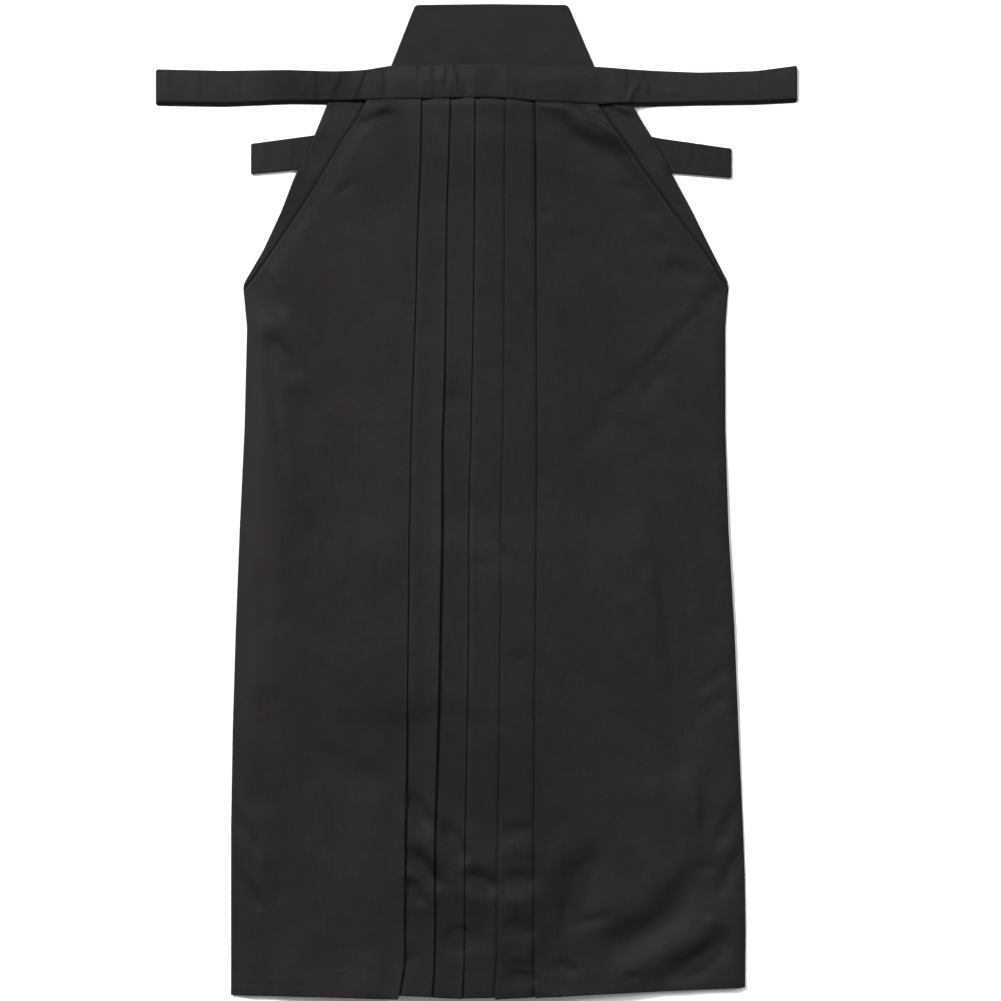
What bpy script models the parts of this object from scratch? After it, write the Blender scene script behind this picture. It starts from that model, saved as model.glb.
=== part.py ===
"""Hakama: pleated, divided Japanese trousers, laid out flat with the front up.

The cloth lies in layers on a level surface, z = 0.  From the surface up they are the back ties, the
stiff back board, the two back leg panels with their centre pleats, the two gussets of the inner legs,
the two front leg panels with five knife pleats, and the waistband, which is folded over the tops of
the front panels and whose ends run out as ties and fold back under.  Every panel is a wall of cloth
that rests on what lies under it and comes down from each step at a gentle slope.  +X is to the right
and +Y towards the waist; the origin is on the surface, at the centre of the bounding box.
"""

import bpy
import numpy as np

MM = 0.001

# Cloth.
WALL = 1.02 * MM          # one layer of cloth
GAP = 0.32 * MM           # air between two layers, and between two pieces at a seam
PITCH = WALL + GAP        # from the middle of one layer to the middle of the next
TURN = (WALL + PITCH) / 2  # length of a fold, from the straight cloth to its outermost point
SLOPE = 0.13              # steepest fall of a layer beside a step

# The garment as it lies.
HALF_LENGTH = 527.4 * MM  # from the origin to the top of the back board, and to the lowest hem
TIE_REACH = 340.8 * MM    # from the origin to the outer fold of either front tie
WAIST_Y = 425.6 * MM      # the seam under the waistband
FRONT_LENGTH = 951.0 * MM  # from there down to the hem
CROTCH_DROP = 470.0 * MM

# Sections: rows of points across the panels, by their drop below the waist seam, in mm.
SECTION_DROPS = np.array([
    -24, 0, 20, 40, 82, 118, 160, 198, 242, 300, 349, 402, 470, 540, 614, 667, 720, 773, 820, 865,
    908, 951,
]) * MM
TUCKED_SECTIONS = 2       # the first sections lie inside the waistband

# Side edges of the panels, in mm, by their drop below the waist seam.
EDGE_COLUMNS = ("drop", "back_left", "front_left", "front_right", "back_right")
EDGES = np.array([
    (-24, -147.0, -103.0, 113.0, 148.0),
    (0, -156.5, -115.5, 124.5, 162.0),
    (20, -164.5, -126.0, 139.4, 173.5),
    (40, -172.5, -140.3, 153.5, 185.5),
    (82, -193.0, -165.0, 182.5, 208.7),
    (118, -207.0, -188.4, 208.5, 228.5),
    (160, -226.5, -216.5, 241.0, 249.5),
    (198, -248.5, -242.5, 263.4, 267.7),
    (242, -244.0, -242.9, 263.3, 264.4),
    (349, -246.7, -245.6, 263.4, 264.5),
    (455, -251.8, -250.7, 266.6, 267.7),
    (561, -256.0, -254.9, 272.9, 274.0),
    (667, -259.2, -258.1, 277.2, 278.3),
    (773, -261.0, -259.9, 282.1, 283.2),
    (880, -261.0, -259.9, 284.9, 286.0),
    (951, -261.0, -259.9, 284.3, 285.4),
]) * MM

# Folded edges of the front pleats, left to right, in mm, by their drop.  The first three face right
# and belong to the left leg; the other two face left.
PLEAT_COLUMNS = ("drop", "pleat_0", "pleat_1", "pleat_2", "pleat_3", "pleat_4")
PLEATS = np.array([
    (-24, -58.0, -27.6, -1.0, 31.6, 61.6),
    (58, -59.3, -29.6, -2.2, 30.5, 63.8),
    (160, -63.2, -32.4, -2.9, 30.2, 63.9),
    (313, -68.2, -34.6, -5.4, 29.1, 64.3),
    (465, -71.5, -36.9, -8.4, 26.1, 63.5),
    (694, -73.8, -41.8, -10.7, 24.4, 62.0),
    (908, -75.9, -45.0, -13.2, 22.4, 61.3),
    (953, -82.6, -47.6, -15.6, 19.2, 61.8),
]) * MM
OUTER_PLEAT_DEPTH = 30.0 * MM  # how far the side panels are turned under at the outermost pleats
NEAR, FAR = 0.375, 0.625   # places of hidden folds between two pleats, as shares of the way
CENTRE_BACK = (8.0 * MM, 10.0 * MM)  # x of the back pleats' meeting line at the waist and at the hem
SIDE_CELLS = 5            # cells across each plain side panel

# Every folded panel is a list of runs of cloth that follow on from each other.  Each goes from one
# column of points to another and has its own hem, given as drops in mm at its start and at its end.
RUN_COLUMNS = ("start", "end", "hem_at_start", "hem_at_end")
FRONT_LEFT = (
    ("left_0", "pleat_0", 950.4, 953.0),
    ("pleat_0", "turn_0", 949.0, 947.4),
    ("turn_0", "pleat_1", 948.2, 950.8),
    ("pleat_1", "near_0", 949.4, 948.6),
    ("near_0", "pleat_2", 950.0, 953.0),
    ("pleat_2", "near_1", 951.0, 950.0),
)
FRONT_RIGHT = (
    ("right_5", "pleat_4", 942.4, 951.5),
    ("pleat_4", "turn_4", 949.4, 947.4),
    ("turn_4", "pleat_3", 948.8, 953.0),
    ("pleat_3", "far_3", 951.4, 950.2),
    ("far_3", "far_1", 950.6, 953.0),
)
BACK_LEFT = (
    ("outer_left", "centre", 941.0, 945.0),
    ("centre", "pleat_1", 944.0, 943.6),
    ("pleat_1", "pleat_3", 943.6, 944.0),
)
BACK_RIGHT = (
    ("outer_right", "centre", 938.4, 945.0),
    ("centre", "far_3", 944.0, 943.6),
    ("far_3", "pleat_3", 943.6, 944.0),
)
BACK_SKIPS = ("half_0", "far_0", "near_3", "half_4")
BACK_LINE_GAP = 0.25 * MM  # each back fold stops this far from the meeting line

# Gussets: at each end the first column is their edge at the crotch and the second their edge at the
# hem.
GUSSET_COLUMNS = ("left_at_crotch", "left_at_hem", "right_at_crotch", "right_at_hem")
LEFT_GUSSET = ("far_1", "near_1", "centre", "pleat_3")
RIGHT_GUSSET = ("pleat_2", "far_1", "pleat_3", "near_3")
GUSSET_AT_CROTCH = 0.15   # share of its full spread that a gusset has at the crotch
GUSSET_HEM_DROP = 942.0 * MM

# Soft folds of the front, in mm: from one end to the other, half width, height, and how far the
# middle bows to the left of the way from start to end.
FOLD_COLUMNS = ("x0", "y0", "x1", "y1", "half_width", "height", "bow")
FOLDS = np.array([
    (112, -492, 246, -428, 24, 6.5, -10),
    (96, -446, 226, -374, 24, 5.0, -12),
    (184, -262, 168, -352, 24, 3.5, 0),
    (256, 196, 112, 66, 22, 3.5, 10),
    (84, 410, 168, 374, 20, 3.5, -4),
    (-222, 222, -196, 92, 22, 3.0, 4),
    (-236, -352, -206, -416, 22, 3.0, 0),
]) * MM
FOLD_FADE = 0.2           # share of its length over which a fold rises at either end
EDGE_CALM = 24.0 * MM     # folds die away this near to a side seam, and to the waistband

# Waistband and front ties: a strip folded lengthwise, its fold at the top.
BAND_COLUMNS = ("x", "y", "half_width")
BAND_LINE = np.array([
    (-340.8, 441.0, 17.2), (-267.7, 439.6, 17.0), (-199.8, 441.5, 16.1), (-152.1, 440.4, 15.4),
    (-119.3, 441.1, 15.6), (-89.6, 443.7, 17.9), (-54.6, 443.9, 18.0), (14.3, 445.0, 17.4),
    (62.0, 442.4, 19.0), (127.7, 440.4, 19.8), (154.2, 439.8, 18.0), (236.9, 439.3, 15.4),
    (296.3, 440.5, 15.8), (340.8, 444.6, 17.6),
]) * MM
BAND_STATIONS = np.array([
    -300, -268, -234, -200, -176, -152, -128, -108, -88, -73, -58, -43, -28, -14, 0, 16, 32, 48,
    63, 78, 94, 110, 128, 148, 166, 188, 212, 237, 268, 302,
]) * MM
BAND_BACK_SHORTER = 4.0 * MM  # the hidden half of the band is narrower by this
LEFT_RETURN_END = -135.0 * MM  # x where the folded-back part of the left tie ends
RIGHT_RETURN_END = 148.0 * MM
RETURN_LOWER = 3.6 * MM   # the folded-back part lies this much lower than the tie above it
RETURN_CELLS = 6          # cells along either folded-back part

# Back board, and the back ties, which cross its foot as one strip under it.
BOARD_THICK = 3.0 * MM
BOARD_HEIGHT = 142.0 * MM
BOARD_TOP = (15.9 * MM, 80.8 * MM)   # x of its middle there, and half its width
BOARD_FOOT = (18.4 * MM, 138.8 * MM)
BOARD_CROWN = 0.6 * MM    # the top edge bows up this much
BOARD_CORNER = 3.0 * MM
BOARD_RIM = 0.8 * MM      # rounding of the rim
TIE_WALL = 1.6 * MM       # a back tie is cloth folded and sewn flat
BACK_TIE_LINE = np.array([
    (-240.0, 363.0, 15.9), (-182.0, 369.6, 17.2), (-110.0, 378.5, 17.0), (14.0, 391.0, 17.0),
    (130.0, 381.0, 17.0), (194.5, 367.2, 17.6), (271.3, 358.4, 15.4),
]) * MM
BACK_TIE_CELL = 24.0 * MM
BACK_RETURN = 98.0 * MM   # length of the part folded back under each end
BACK_RETURN_CELLS = 3
SAMPLE = 6.0 * MM         # spacing of the places where one thing's height is read for the next

# Shape of a fold, as shares of its height: where the two points of its nose stand.
NOSE_OUTER = 0.575
NOSE_INNER = 0.30
ARC_DEGREES = (135.0, 180.0, 225.0)

CLOTH_RGBA = (0.024, 0.022, 0.026, 1.0)
CLOTH_ROUGHNESS = 0.86
BOARD_ROUGHNESS = 0.80
SHARP_DEGREES = 40.0


def clear_scene():
    for obj in list(bpy.data.objects):
        bpy.data.objects.remove(obj, do_unlink=True)


def cloth_material(name, roughness):
    material = bpy.data.materials.new(name)
    material.use_nodes = True
    shader = material.node_tree.nodes["Principled BSDF"]
    shader.inputs["Base Color"].default_value = CLOTH_RGBA
    shader.inputs["Roughness"].default_value = roughness
    shader.inputs["Metallic"].default_value = 0.0
    return material


def share(a, b, s):
    return a + (b - a) * s


def smooth_step(s):
    s = np.clip(s, 0.0, 1.0)
    return s * s * (3.0 - 2.0 * s)


# Bodies.


def enclosed_volume(points, faces):
    """Volume inside a closed surface of triangles: positive when they face out."""
    a, b, c = (points[faces[:, k]] for k in range(3))
    return np.einsum("ij,ij->i", a, np.cross(b, c)).sum() / 6.0


def add_body(name, points, faces, roughness):
    """An object whose triangles all face out."""
    faces = np.array(faces)
    if enclosed_volume(points, faces) < 0.0:
        faces = faces[:, ::-1]
    mesh = bpy.data.meshes.new(name)
    mesh.from_pydata(points.tolist(), [], faces.tolist())
    mesh.shade_smooth()
    mesh.set_sharp_from_angle(angle=np.radians(SHARP_DEGREES))
    mesh.materials.append(cloth_material(name + "_cloth", roughness))
    obj = bpy.data.objects.new(name, mesh)
    bpy.context.collection.objects.link(obj)
    return obj


def wall(name, one, other, roughness, leftwards=None):
    """A closed wall between two grids of points, one[row, column] and other[row, column].

    Every cell is cut along the same diagonal of the ground, whichever way the cloth runs there, so
    that layers on top of each other match.  leftwards[column] is True where it runs towards -X.
    """
    rows, columns = one.shape[:2]
    if leftwards is None:
        leftwards = np.zeros(columns - 1, bool)
    size = rows * columns
    faces = []
    for j in range(rows - 1):
        for i in range(columns - 1):
            a = j * columns + i
            b, c, d = a + 1, a + columns, a + columns + 1
            pair = ((a, c, b), (b, c, d)) if leftwards[i] else ((a, c, d), (a, d, b))
            for triangle in pair:
                faces.append(triangle)
                faces.append([k + size for k in reversed(triangle)])
    ends = [(i, i + 1) for i in range(columns - 1)]
    ends += [(i + 1 + (rows - 1) * columns, i + (rows - 1) * columns) for i in range(columns - 1)]
    ends += [((j + 1) * columns, j * columns) for j in range(rows - 1)]
    ends += [((j + 1) * columns - 1, (j + 2) * columns - 1) for j in range(rows - 1)]
    for a, b in ends:
        faces.append((a, b, b + size))
        faces.append((a, b + size, a + size))
    points = np.concatenate([one.reshape(-1, 3), other.reshape(-1, 3)])
    return add_body(name, points, faces, roughness)


# Places on the ground.


def edge_x(name, drop):
    """x of a panel's side edge at these drops below the waist seam."""
    return np.interp(drop, EDGES[:, 0], EDGES[:, EDGE_COLUMNS.index(name)])


def pleat_x(index, drop):
    """x of a pleat's folded edge at these drops below the waist seam."""
    return np.interp(drop, PLEATS[:, 0], PLEATS[:, PLEAT_COLUMNS.index(f"pleat_{index}")])


def ground_columns(drop):
    """x of every column of points at these drops, by name, from left to right."""
    pleats = [pleat_x(k, drop) for k in range(len(PLEAT_COLUMNS) - 1)]
    turn_0, turn_4 = pleats[0] - OUTER_PLEAT_DEPTH, pleats[4] + OUTER_PLEAT_DEPTH
    front_left, front_right = edge_x("front_left", drop), edge_x("front_right", drop)
    found = {"outer_left": edge_x("back_left", drop)}
    for k in range(SIDE_CELLS):
        found[f"left_{k}"] = share(front_left, turn_0, k / SIDE_CELLS)
    found["turn_0"] = turn_0
    found["half_0"] = share(turn_0, pleats[0], 0.5)
    found["pleat_0"] = pleats[0]
    for k in (0, 1):
        found[f"near_{k}"] = share(pleats[k], pleats[k + 1], NEAR)
        found[f"far_{k}"] = share(pleats[k], pleats[k + 1], FAR)
        found[f"pleat_{k + 1}"] = pleats[k + 1]
    found["centre"] = share(CENTRE_BACK[0], CENTRE_BACK[1], drop / FRONT_LENGTH)
    found["pleat_3"] = pleats[3]
    found["near_3"] = share(pleats[3], pleats[4], NEAR)
    found["far_3"] = share(pleats[3], pleats[4], FAR)
    found["pleat_4"] = pleats[4]
    found["half_4"] = share(pleats[4], turn_4, 0.5)
    found["turn_4"] = turn_4
    for k in range(1, SIDE_CELLS + 1):
        found[f"right_{k}"] = share(turn_4, front_right, k / SIDE_CELLS)
    found["outer_right"] = edge_x("back_right", drop)
    return found


def settle(z, *spacings):
    """Raises heights, where needed, until none is steeper than SLOPE from its neighbours.

    spacings holds the distances between neighbours along the last axis and, if given, the first.
    """
    z = z.copy()
    across = SLOPE * np.abs(spacings[0])
    for _ in range(sum(z.shape)):
        z[..., 1:] = np.maximum(z[..., 1:], z[..., :-1] - across)
        z[..., :-1] = np.maximum(z[..., :-1], z[..., 1:] - across)
        if len(spacings) > 1:
            along = SLOPE * np.abs(spacings[1])
            z[1:] = np.maximum(z[1:], z[:-1] - along)
            z[:-1] = np.maximum(z[:-1], z[1:] - along)
    return z


class Layer:
    """Middle heights of one layer of cloth on some of the ground's columns."""

    def __init__(self, names, x, z):
        self.names, self.x, self.z = names, x, z

    def height(self, x):
        """Heights at one x in every section, straight between the columns."""
        return np.array([np.interp(x[row], self.x[row], self.z[row]) for row in range(len(x))])


class Ground:
    """Columns of points across the garment, and the top of what lies there so far.

    It starts a gap below the surface, so that the lowest cloth lies on the surface itself.
    """

    def __init__(self):
        columns = ground_columns(SECTION_DROPS)
        self.names = list(columns)
        self.x = np.stack([columns[name] for name in self.names], axis=1)
        self.y = WAIST_Y - SECTION_DROPS[:, None] + 0.0 * self.x
        self.top = np.full_like(self.x, -GAP)

    def column(self, name):
        return self.x[:, self.names.index(name)]

    def between(self, start, end, skips=()):
        """Names of the columns from one to another, in that order."""
        i, j = self.names.index(start), self.names.index(end)
        names = self.names[i: j + 1] if i < j else self.names[j: i + 1][::-1]
        return [name for name in names if name not in skips]

    def raise_to(self, x, y, z):
        """Makes the ground clear a thing that is sampled at these places.

        Every corner of the cell that a sample lies in is raised to the sample's height.
        """
        for px, py, pz in zip(x, y, z):
            drop = WAIST_Y - py
            if not SECTION_DROPS[0] <= drop <= SECTION_DROPS[-1]:
                continue
            j = min(np.searchsorted(SECTION_DROPS, drop, side="right"), len(SECTION_DROPS) - 1) - 1
            s = (drop - SECTION_DROPS[j]) / (SECTION_DROPS[j + 1] - SECTION_DROPS[j])
            row = share(self.x[j], self.x[j + 1], s)
            i = int(np.clip(np.searchsorted(row, px) - 1, 0, len(row) - 2))
            cell = self.top[j: j + 2, i: i + 2]
            self.top[j: j + 2, i: i + 2] = np.maximum(cell, pz)

    def lay(self, start, end, skips=(), rows=slice(None)):
        """A layer from one column to another that rests on the ground, which it then covers."""
        used = self.between(start, end, skips)
        if self.names.index(used[0]) > self.names.index(used[-1]):
            used = used[::-1]
        first, last = self.names.index(used[0]), self.names.index(used[-1])
        x, y = self.x[rows, first: last + 1], self.y[rows, first: last + 1]
        dense = self.top[rows, first: last + 1] + GAP + WALL / 2
        dense = settle(dense, np.diff(x, axis=1), np.diff(y, axis=0))
        places = [self.names.index(name) - first for name in used]
        z = np.empty((len(x), len(used)))
        for k, place in enumerate(places):
            low = places[k - 1] + 1 if k > 0 else place
            high = places[k + 1] if k + 1 < len(used) else place + 1
            z[:, k] = dense[:, low: high].max(axis=1)
        layer = Layer(used, x[:, places], z)
        for row in range(len(x)):
            covered = np.interp(x[row], layer.x[row], layer.z[row]) + WALL / 2
            self.top[rows, first: last + 1][row] = np.maximum(
                self.top[rows, first: last + 1][row], covered)
        return layer


def soft_folds(x, y):
    """Height of the soft folds at these places: each is a ridge with a bell-shaped section."""
    total = np.zeros_like(x)
    for x0, y0, x1, y1, half_width, height, bow in FOLDS:
        length = np.hypot(x1 - x0, y1 - y0)
        ux, uy = (x1 - x0) / length, (y1 - y0) / length
        along = ((x - x0) * ux + (y - y0) * uy) / length
        aside = (y - y0) * ux - (x - x0) * uy - bow * 4 * along * (1 - along)
        ends = smooth_step(0.5 + along / FOLD_FADE) * smooth_step(0.5 + (1 - along) / FOLD_FADE)
        total += height * ends * np.exp(-((aside / half_width) ** 2))
    drop = WAIST_Y - y
    from_left = (x - edge_x("front_left", drop)) / EDGE_CALM
    from_right = (edge_x("front_right", drop) - x) / EDGE_CALM
    return total * smooth_step(from_left) * smooth_step(from_right) * smooth_step(drop / EDGE_CALM)


# Leg panels.


def lay_runs(ground, runs, skips=(), upwards=True):
    """Layers of a folded panel.  Its last run lies lowest, unless it is laid upwards."""
    order = list(runs) if upwards else list(runs)[::-1]
    layers = [ground.lay(run[0], run[1], skips) for run in order]
    return layers if upwards else layers[::-1]


def lift_layers(ground, layers):
    """Adds the soft folds to layers of the front, alike in all so that they stay apart."""
    lift = soft_folds(ground.x, ground.y)
    for layer in layers:
        layer.z = layer.z + lift[:, [ground.names.index(name) for name in layer.names]]


def folded_panel(name, ground, runs, layers, upwards, skips=(), inset=0.0):
    """A wall of cloth that goes to and fro through its runs, with a round fold at each turn.

    Each fold's outermost point stands on its column, but for the first, which is drawn in by inset.
    Free side edges stop half a gap short of theirs.
    """
    side = -1.0 if upwards else 1.0
    one, other, leftwards = [], [], []
    for n, (run, layer) in enumerate(zip(runs, layers)):
        names = ground.between(run[0], run[1], skips)
        step = 1.0 if ground.column(names[-1])[0] > ground.column(names[0])[0] else -1.0
        last_run = n + 1 == len(runs)
        first_inset = inset if n == 0 else 0.0
        for k, column in enumerate(names):
            x = ground.column(column).copy()
            if k == 0:
                x += step * (GAP / 2 if n == 0 else TURN)
                if n == 1:
                    x += step * inset
            if k + 1 == len(names):
                x -= step * (GAP / 2 if last_run else TURN + first_inset)
            hem = share(run[2], run[3], k / (len(names) - 1)) * MM
            z = layer.height(x)
            one.append(hemmed(x, z + side * WALL / 2, hem))
            other.append(hemmed(x, z - side * WALL / 2, hem))
            leftwards.append(step < 0)
        if not last_run:
            edge = ground.column(names[-1]) - step * first_inset
            here, there = layer.height(edge - step * TURN), layers[n + 1].height(edge - step * TURN)
            middle, half = (here + there) / 2, (here - there) / 2
            outer_half, inner_half = half + np.sign(half) * WALL / 2, half - np.sign(half) * WALL / 2
            hems = share(run[3], runs[n + 1][2], 1 / 3) * MM, share(run[3], runs[n + 1][2], 2 / 3) * MM
            for sign, hem in zip((1.0, -1.0), hems):
                outer = hemmed(edge, middle + sign * NOSE_OUTER * outer_half, hem)
                inner = hemmed(edge - step * WALL, middle + sign * NOSE_INNER * inner_half, hem)
                one.append(outer if n % 2 == 0 else inner)
                other.append(inner if n % 2 == 0 else outer)
                leftwards.append(step < 0)
        side = -side
    return wall(name, np.stack(one, 1), np.stack(other, 1), CLOTH_ROUGHNESS, np.array(leftwards[1:]))


def hemmed(x, z, hem):
    """A column of points down the panel, cut off at the hem's drop."""
    points = np.stack([x, WAIST_Y - SECTION_DROPS, z], axis=1)
    s = (hem - SECTION_DROPS[-2]) / (SECTION_DROPS[-1] - SECTION_DROPS[-2])
    points[-1] = share(points[-2], points[-1], s)
    return points


def gusset(name, ground, columns):
    """A tapered piece between the inner edges of one leg's front and back, from crotch to hem."""
    left_top, left_hem, right_top, right_hem = columns
    rows = slice(int(np.searchsorted(SECTION_DROPS, CROTCH_DROP)), len(SECTION_DROPS))
    drops = SECTION_DROPS[rows]
    layer = ground.lay(left_hem, right_hem, rows=rows)
    spread = share(GUSSET_AT_CROTCH, 1.0, (drops - CROTCH_DROP) / (FRONT_LENGTH - CROTCH_DROP))
    left = share(ground.column(left_top)[rows], ground.column(left_hem)[rows], spread)
    right = share(ground.column(right_top)[rows], ground.column(right_hem)[rows], spread)
    inside = [ground.column(column)[rows] for column in ground.between(left_top, right_top)]
    upper, lower = [], []
    for x in [left + GAP / 2, *inside, right - GAP / 2]:
        z = layer.height(x)
        points = np.stack([x, WAIST_Y - drops, z], axis=1)
        s = (GUSSET_HEM_DROP - drops[-2]) / (drops[-1] - drops[-2])
        points[-1] = share(points[-2], points[-1], s)
        upper.append(points + (0, 0, WALL / 2))
        lower.append(points - (0, 0, WALL / 2))
    return wall(name, np.stack(upper, 1), np.stack(lower, 1), CLOTH_ROUGHNESS)


# Strips: the waistband with its ties, and the back ties.


class Station:
    """A place along a strip: its middle, the way its upper face looks, and its sizes there.

    apart is the distance between the middles of its two halves, where it is folded lengthwise.
    """

    def __init__(self, x, y, z, half_width, apart=0.0, degrees=90.0):
        self.x, self.y, self.z = x, y, z
        self.half_width, self.apart = half_width, apart
        self.normal = np.array([np.cos(np.radians(degrees)), 0.0, np.sin(np.radians(degrees))])

    def point(self, across, offset):
        return np.array([self.x, self.y + across, self.z]) + self.normal * offset


def line_at(table, x):
    return np.interp(x, table[:, 0], table[:, 1]), np.interp(x, table[:, 0], table[:, 2])


def end_turn(table, end, z_upper, z_lower, reach, shift=0.0, apart=0.0):
    """Stations around the half circle where a strip turns back under itself, from the top down.

    reach is the radius of its outermost face, and shift how far it moves towards the hem meanwhile.
    """
    side = np.sign(end)
    y, half_width = line_at(table, end)
    radius = (z_upper - z_lower) / 2
    stations = []
    for k, degrees in enumerate(ARC_DEGREES, start=1):
        angle = np.radians(degrees)
        x = end - side * (reach + radius * np.cos(angle))
        z = (z_upper + z_lower) / 2 + radius * np.sin(angle)
        moved = y - shift * k / (len(ARC_DEGREES) + 1)
        stations.append(Station(x, moved, z, half_width, apart, 180 - degrees if side > 0 else degrees))
    return stations


def band_profile(station):
    """The strip's section, folded lengthwise: across and the offsets of its outer and inner face."""
    h, d = station.half_width, station.apart / 2
    t = WALL / 2
    return [
        (-h, d + t, -h, d - t),
        (h - TURN, d + t, h - TURN, d - t),
        (h, NOSE_OUTER * (d + t), h - WALL, NOSE_INNER * (d - t)),
        (h, -NOSE_OUTER * (d + t), h - WALL, -NOSE_INNER * (d - t)),
        (h - TURN, -d - t, h - TURN, -d + t),
        (BAND_BACK_SHORTER - h, -d - t, BAND_BACK_SHORTER - h, -d + t),
    ]


def tie_profile(station):
    h, t = station.half_width, TIE_WALL / 2
    return [(-h, t, -h, -t), (0.0, t, 0.0, -t), (h, t, h, -t)]


def strip(name, stations, profile):
    outer, inner = [], []
    for station in stations:
        section = profile(station)
        outer.append([station.point(a, offset) for a, offset, _, _ in section])
        inner.append([station.point(a, offset) for _, _, a, offset in section])
    return wall(name, np.array(outer), np.array(inner), CLOTH_ROUGHNESS)


def back_ties(ground):
    """One flat strip across the back, folded back under itself at both ends.  Lies lowest."""
    ends = BACK_TIE_LINE[0, 0], BACK_TIE_LINE[-1, 0]
    reach = (3 * TIE_WALL + 2 * GAP) / 2 - TIE_WALL / 2
    doubled = TIE_WALL + GAP
    inner_ends = ends[0] + BACK_RETURN, ends[1] - BACK_RETURN
    cells = int(round((ends[1] - ends[0]) / BACK_TIE_CELL))
    main_x = np.linspace(ends[0] + reach, ends[1] - reach, cells + 1)
    over_return = (main_x < inner_ends[0] + BACK_TIE_CELL) | (main_x > inner_ends[1] - BACK_TIE_CELL)
    main_z = settle(np.where(over_return, doubled, 0.0), np.diff(main_x)) + TIE_WALL / 2
    low = TIE_WALL / 2
    main = [Station(x, line_at(BACK_TIE_LINE, x)[0], z, line_at(BACK_TIE_LINE, x)[1])
            for x, z in zip(main_x, main_z)]
    returns = []
    for end, inner_end in zip(ends, inner_ends):
        xs = np.linspace(end - np.sign(end) * reach, inner_end, BACK_RETURN_CELLS + 1)
        flat = [Station(x, line_at(BACK_TIE_LINE, x)[0], low, line_at(BACK_TIE_LINE, x)[1], 0.0, -90.0)
                for x in xs]
        turn = end_turn(BACK_TIE_LINE, end, main_z[0], low, reach)
        returns.append(turn + flat)
    strip("back_ties", returns[0][::-1] + main + returns[1], tie_profile)
    for station in main:
        across = np.arange(-station.half_width, station.half_width + SAMPLE, SAMPLE)
        for dx in (-BACK_TIE_CELL / 3, 0.0, BACK_TIE_CELL / 3):
            ground.raise_to(station.x + dx + 0 * across, station.y + across,
                            station.z + TIE_WALL / 2 + 0 * across)


def board_outline():
    """Points around the board: a trapezium with rounded corners and a bowed top edge."""
    top, foot = HALF_LENGTH - BOARD_CROWN, HALF_LENGTH - BOARD_HEIGHT
    corners = [
        (BOARD_FOOT[0] - BOARD_FOOT[1], foot), (BOARD_FOOT[0] + BOARD_FOOT[1], foot),
        (BOARD_TOP[0] + BOARD_TOP[1], top), (BOARD_TOP[0] - BOARD_TOP[1], top),
    ]
    corners = [np.array(corner) for corner in corners]
    points = []
    for k, corner in enumerate(corners):
        before, after = corners[k - 1] - corner, corners[(k + 1) % 4] - corner
        start = corner + before / np.hypot(*before) * BOARD_CORNER
        end = corner + after / np.hypot(*after) * BOARD_CORNER
        for s in (0.0, 0.25, 0.5, 0.75, 1.0):
            points.append(share(share(start, corner, s), share(corner, end, s), s))
        if k == 2:
            for s in (0.25, 0.5, 0.75):
                points.append(share(corner, corners[3], s))
    points = np.array(points)
    across = (points[:, 0] - BOARD_TOP[0]) / BOARD_TOP[1]
    near_top = points[:, 1] > top - BOARD_CORNER / 4
    points[:, 1] += np.where(near_top, BOARD_CROWN * np.clip(1 - across ** 2, 0, 1), 0.0)
    return points


def board_underside(y):
    """The board leans on the ties under its foot and on the surface under its top edge."""
    tie_top = BACK_TIE_LINE[:, 1].max() + BACK_TIE_LINE[:, 2].max()
    return (TIE_WALL + GAP) * (HALF_LENGTH - y) / (HALF_LENGTH - tie_top)


def back_board(ground):
    """A stiff board covered with cloth, which stands up behind the waist when it is worn."""
    outline = board_outline()
    count = len(outline)
    along = np.roll(outline, -1, axis=0) - np.roll(outline, 1, axis=0)
    inward = np.stack([-along[:, 1], along[:, 0]], axis=1)
    inward /= np.linalg.norm(inward, axis=1)[:, None]
    rings = []
    for inset, level in ((BOARD_RIM, 0.0), (0.0, BOARD_RIM), (0.0, BOARD_THICK - BOARD_RIM),
                         (BOARD_RIM, BOARD_THICK)):
        ring = outline + inward * inset
        rings.append(np.column_stack([ring, board_underside(ring[:, 1]) + level]))
    middle = outline.mean(axis=0)
    floor = [*middle, board_underside(middle[1])]
    points = np.concatenate(rings + [[floor], [np.add(floor, (0, 0, BOARD_THICK))]])
    faces = []
    for k in range(count):
        n = (k + 1) % count
        for ring in range(3):
            a, b = ring * count + k, ring * count + n
            faces += [(a, b, b + count), (a, b + count, a + count)]
        faces += [(n, k, 4 * count), (3 * count + k, 3 * count + n, 4 * count + 1)]
    add_body("back_board", points, faces, BOARD_ROUGHNESS)
    for y in np.arange(HALF_LENGTH - BOARD_HEIGHT, HALF_LENGTH, SAMPLE):
        s = (HALF_LENGTH - y) / BOARD_HEIGHT
        x0, half = share(BOARD_TOP[0], BOARD_FOOT[0], s), share(BOARD_TOP[1], BOARD_FOOT[1], s)
        x = np.arange(x0 - half, x0 + half + SAMPLE, SAMPLE)
        ground.raise_to(x, y + 0 * x, board_underside(y) + BOARD_THICK + 0 * x)


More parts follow.
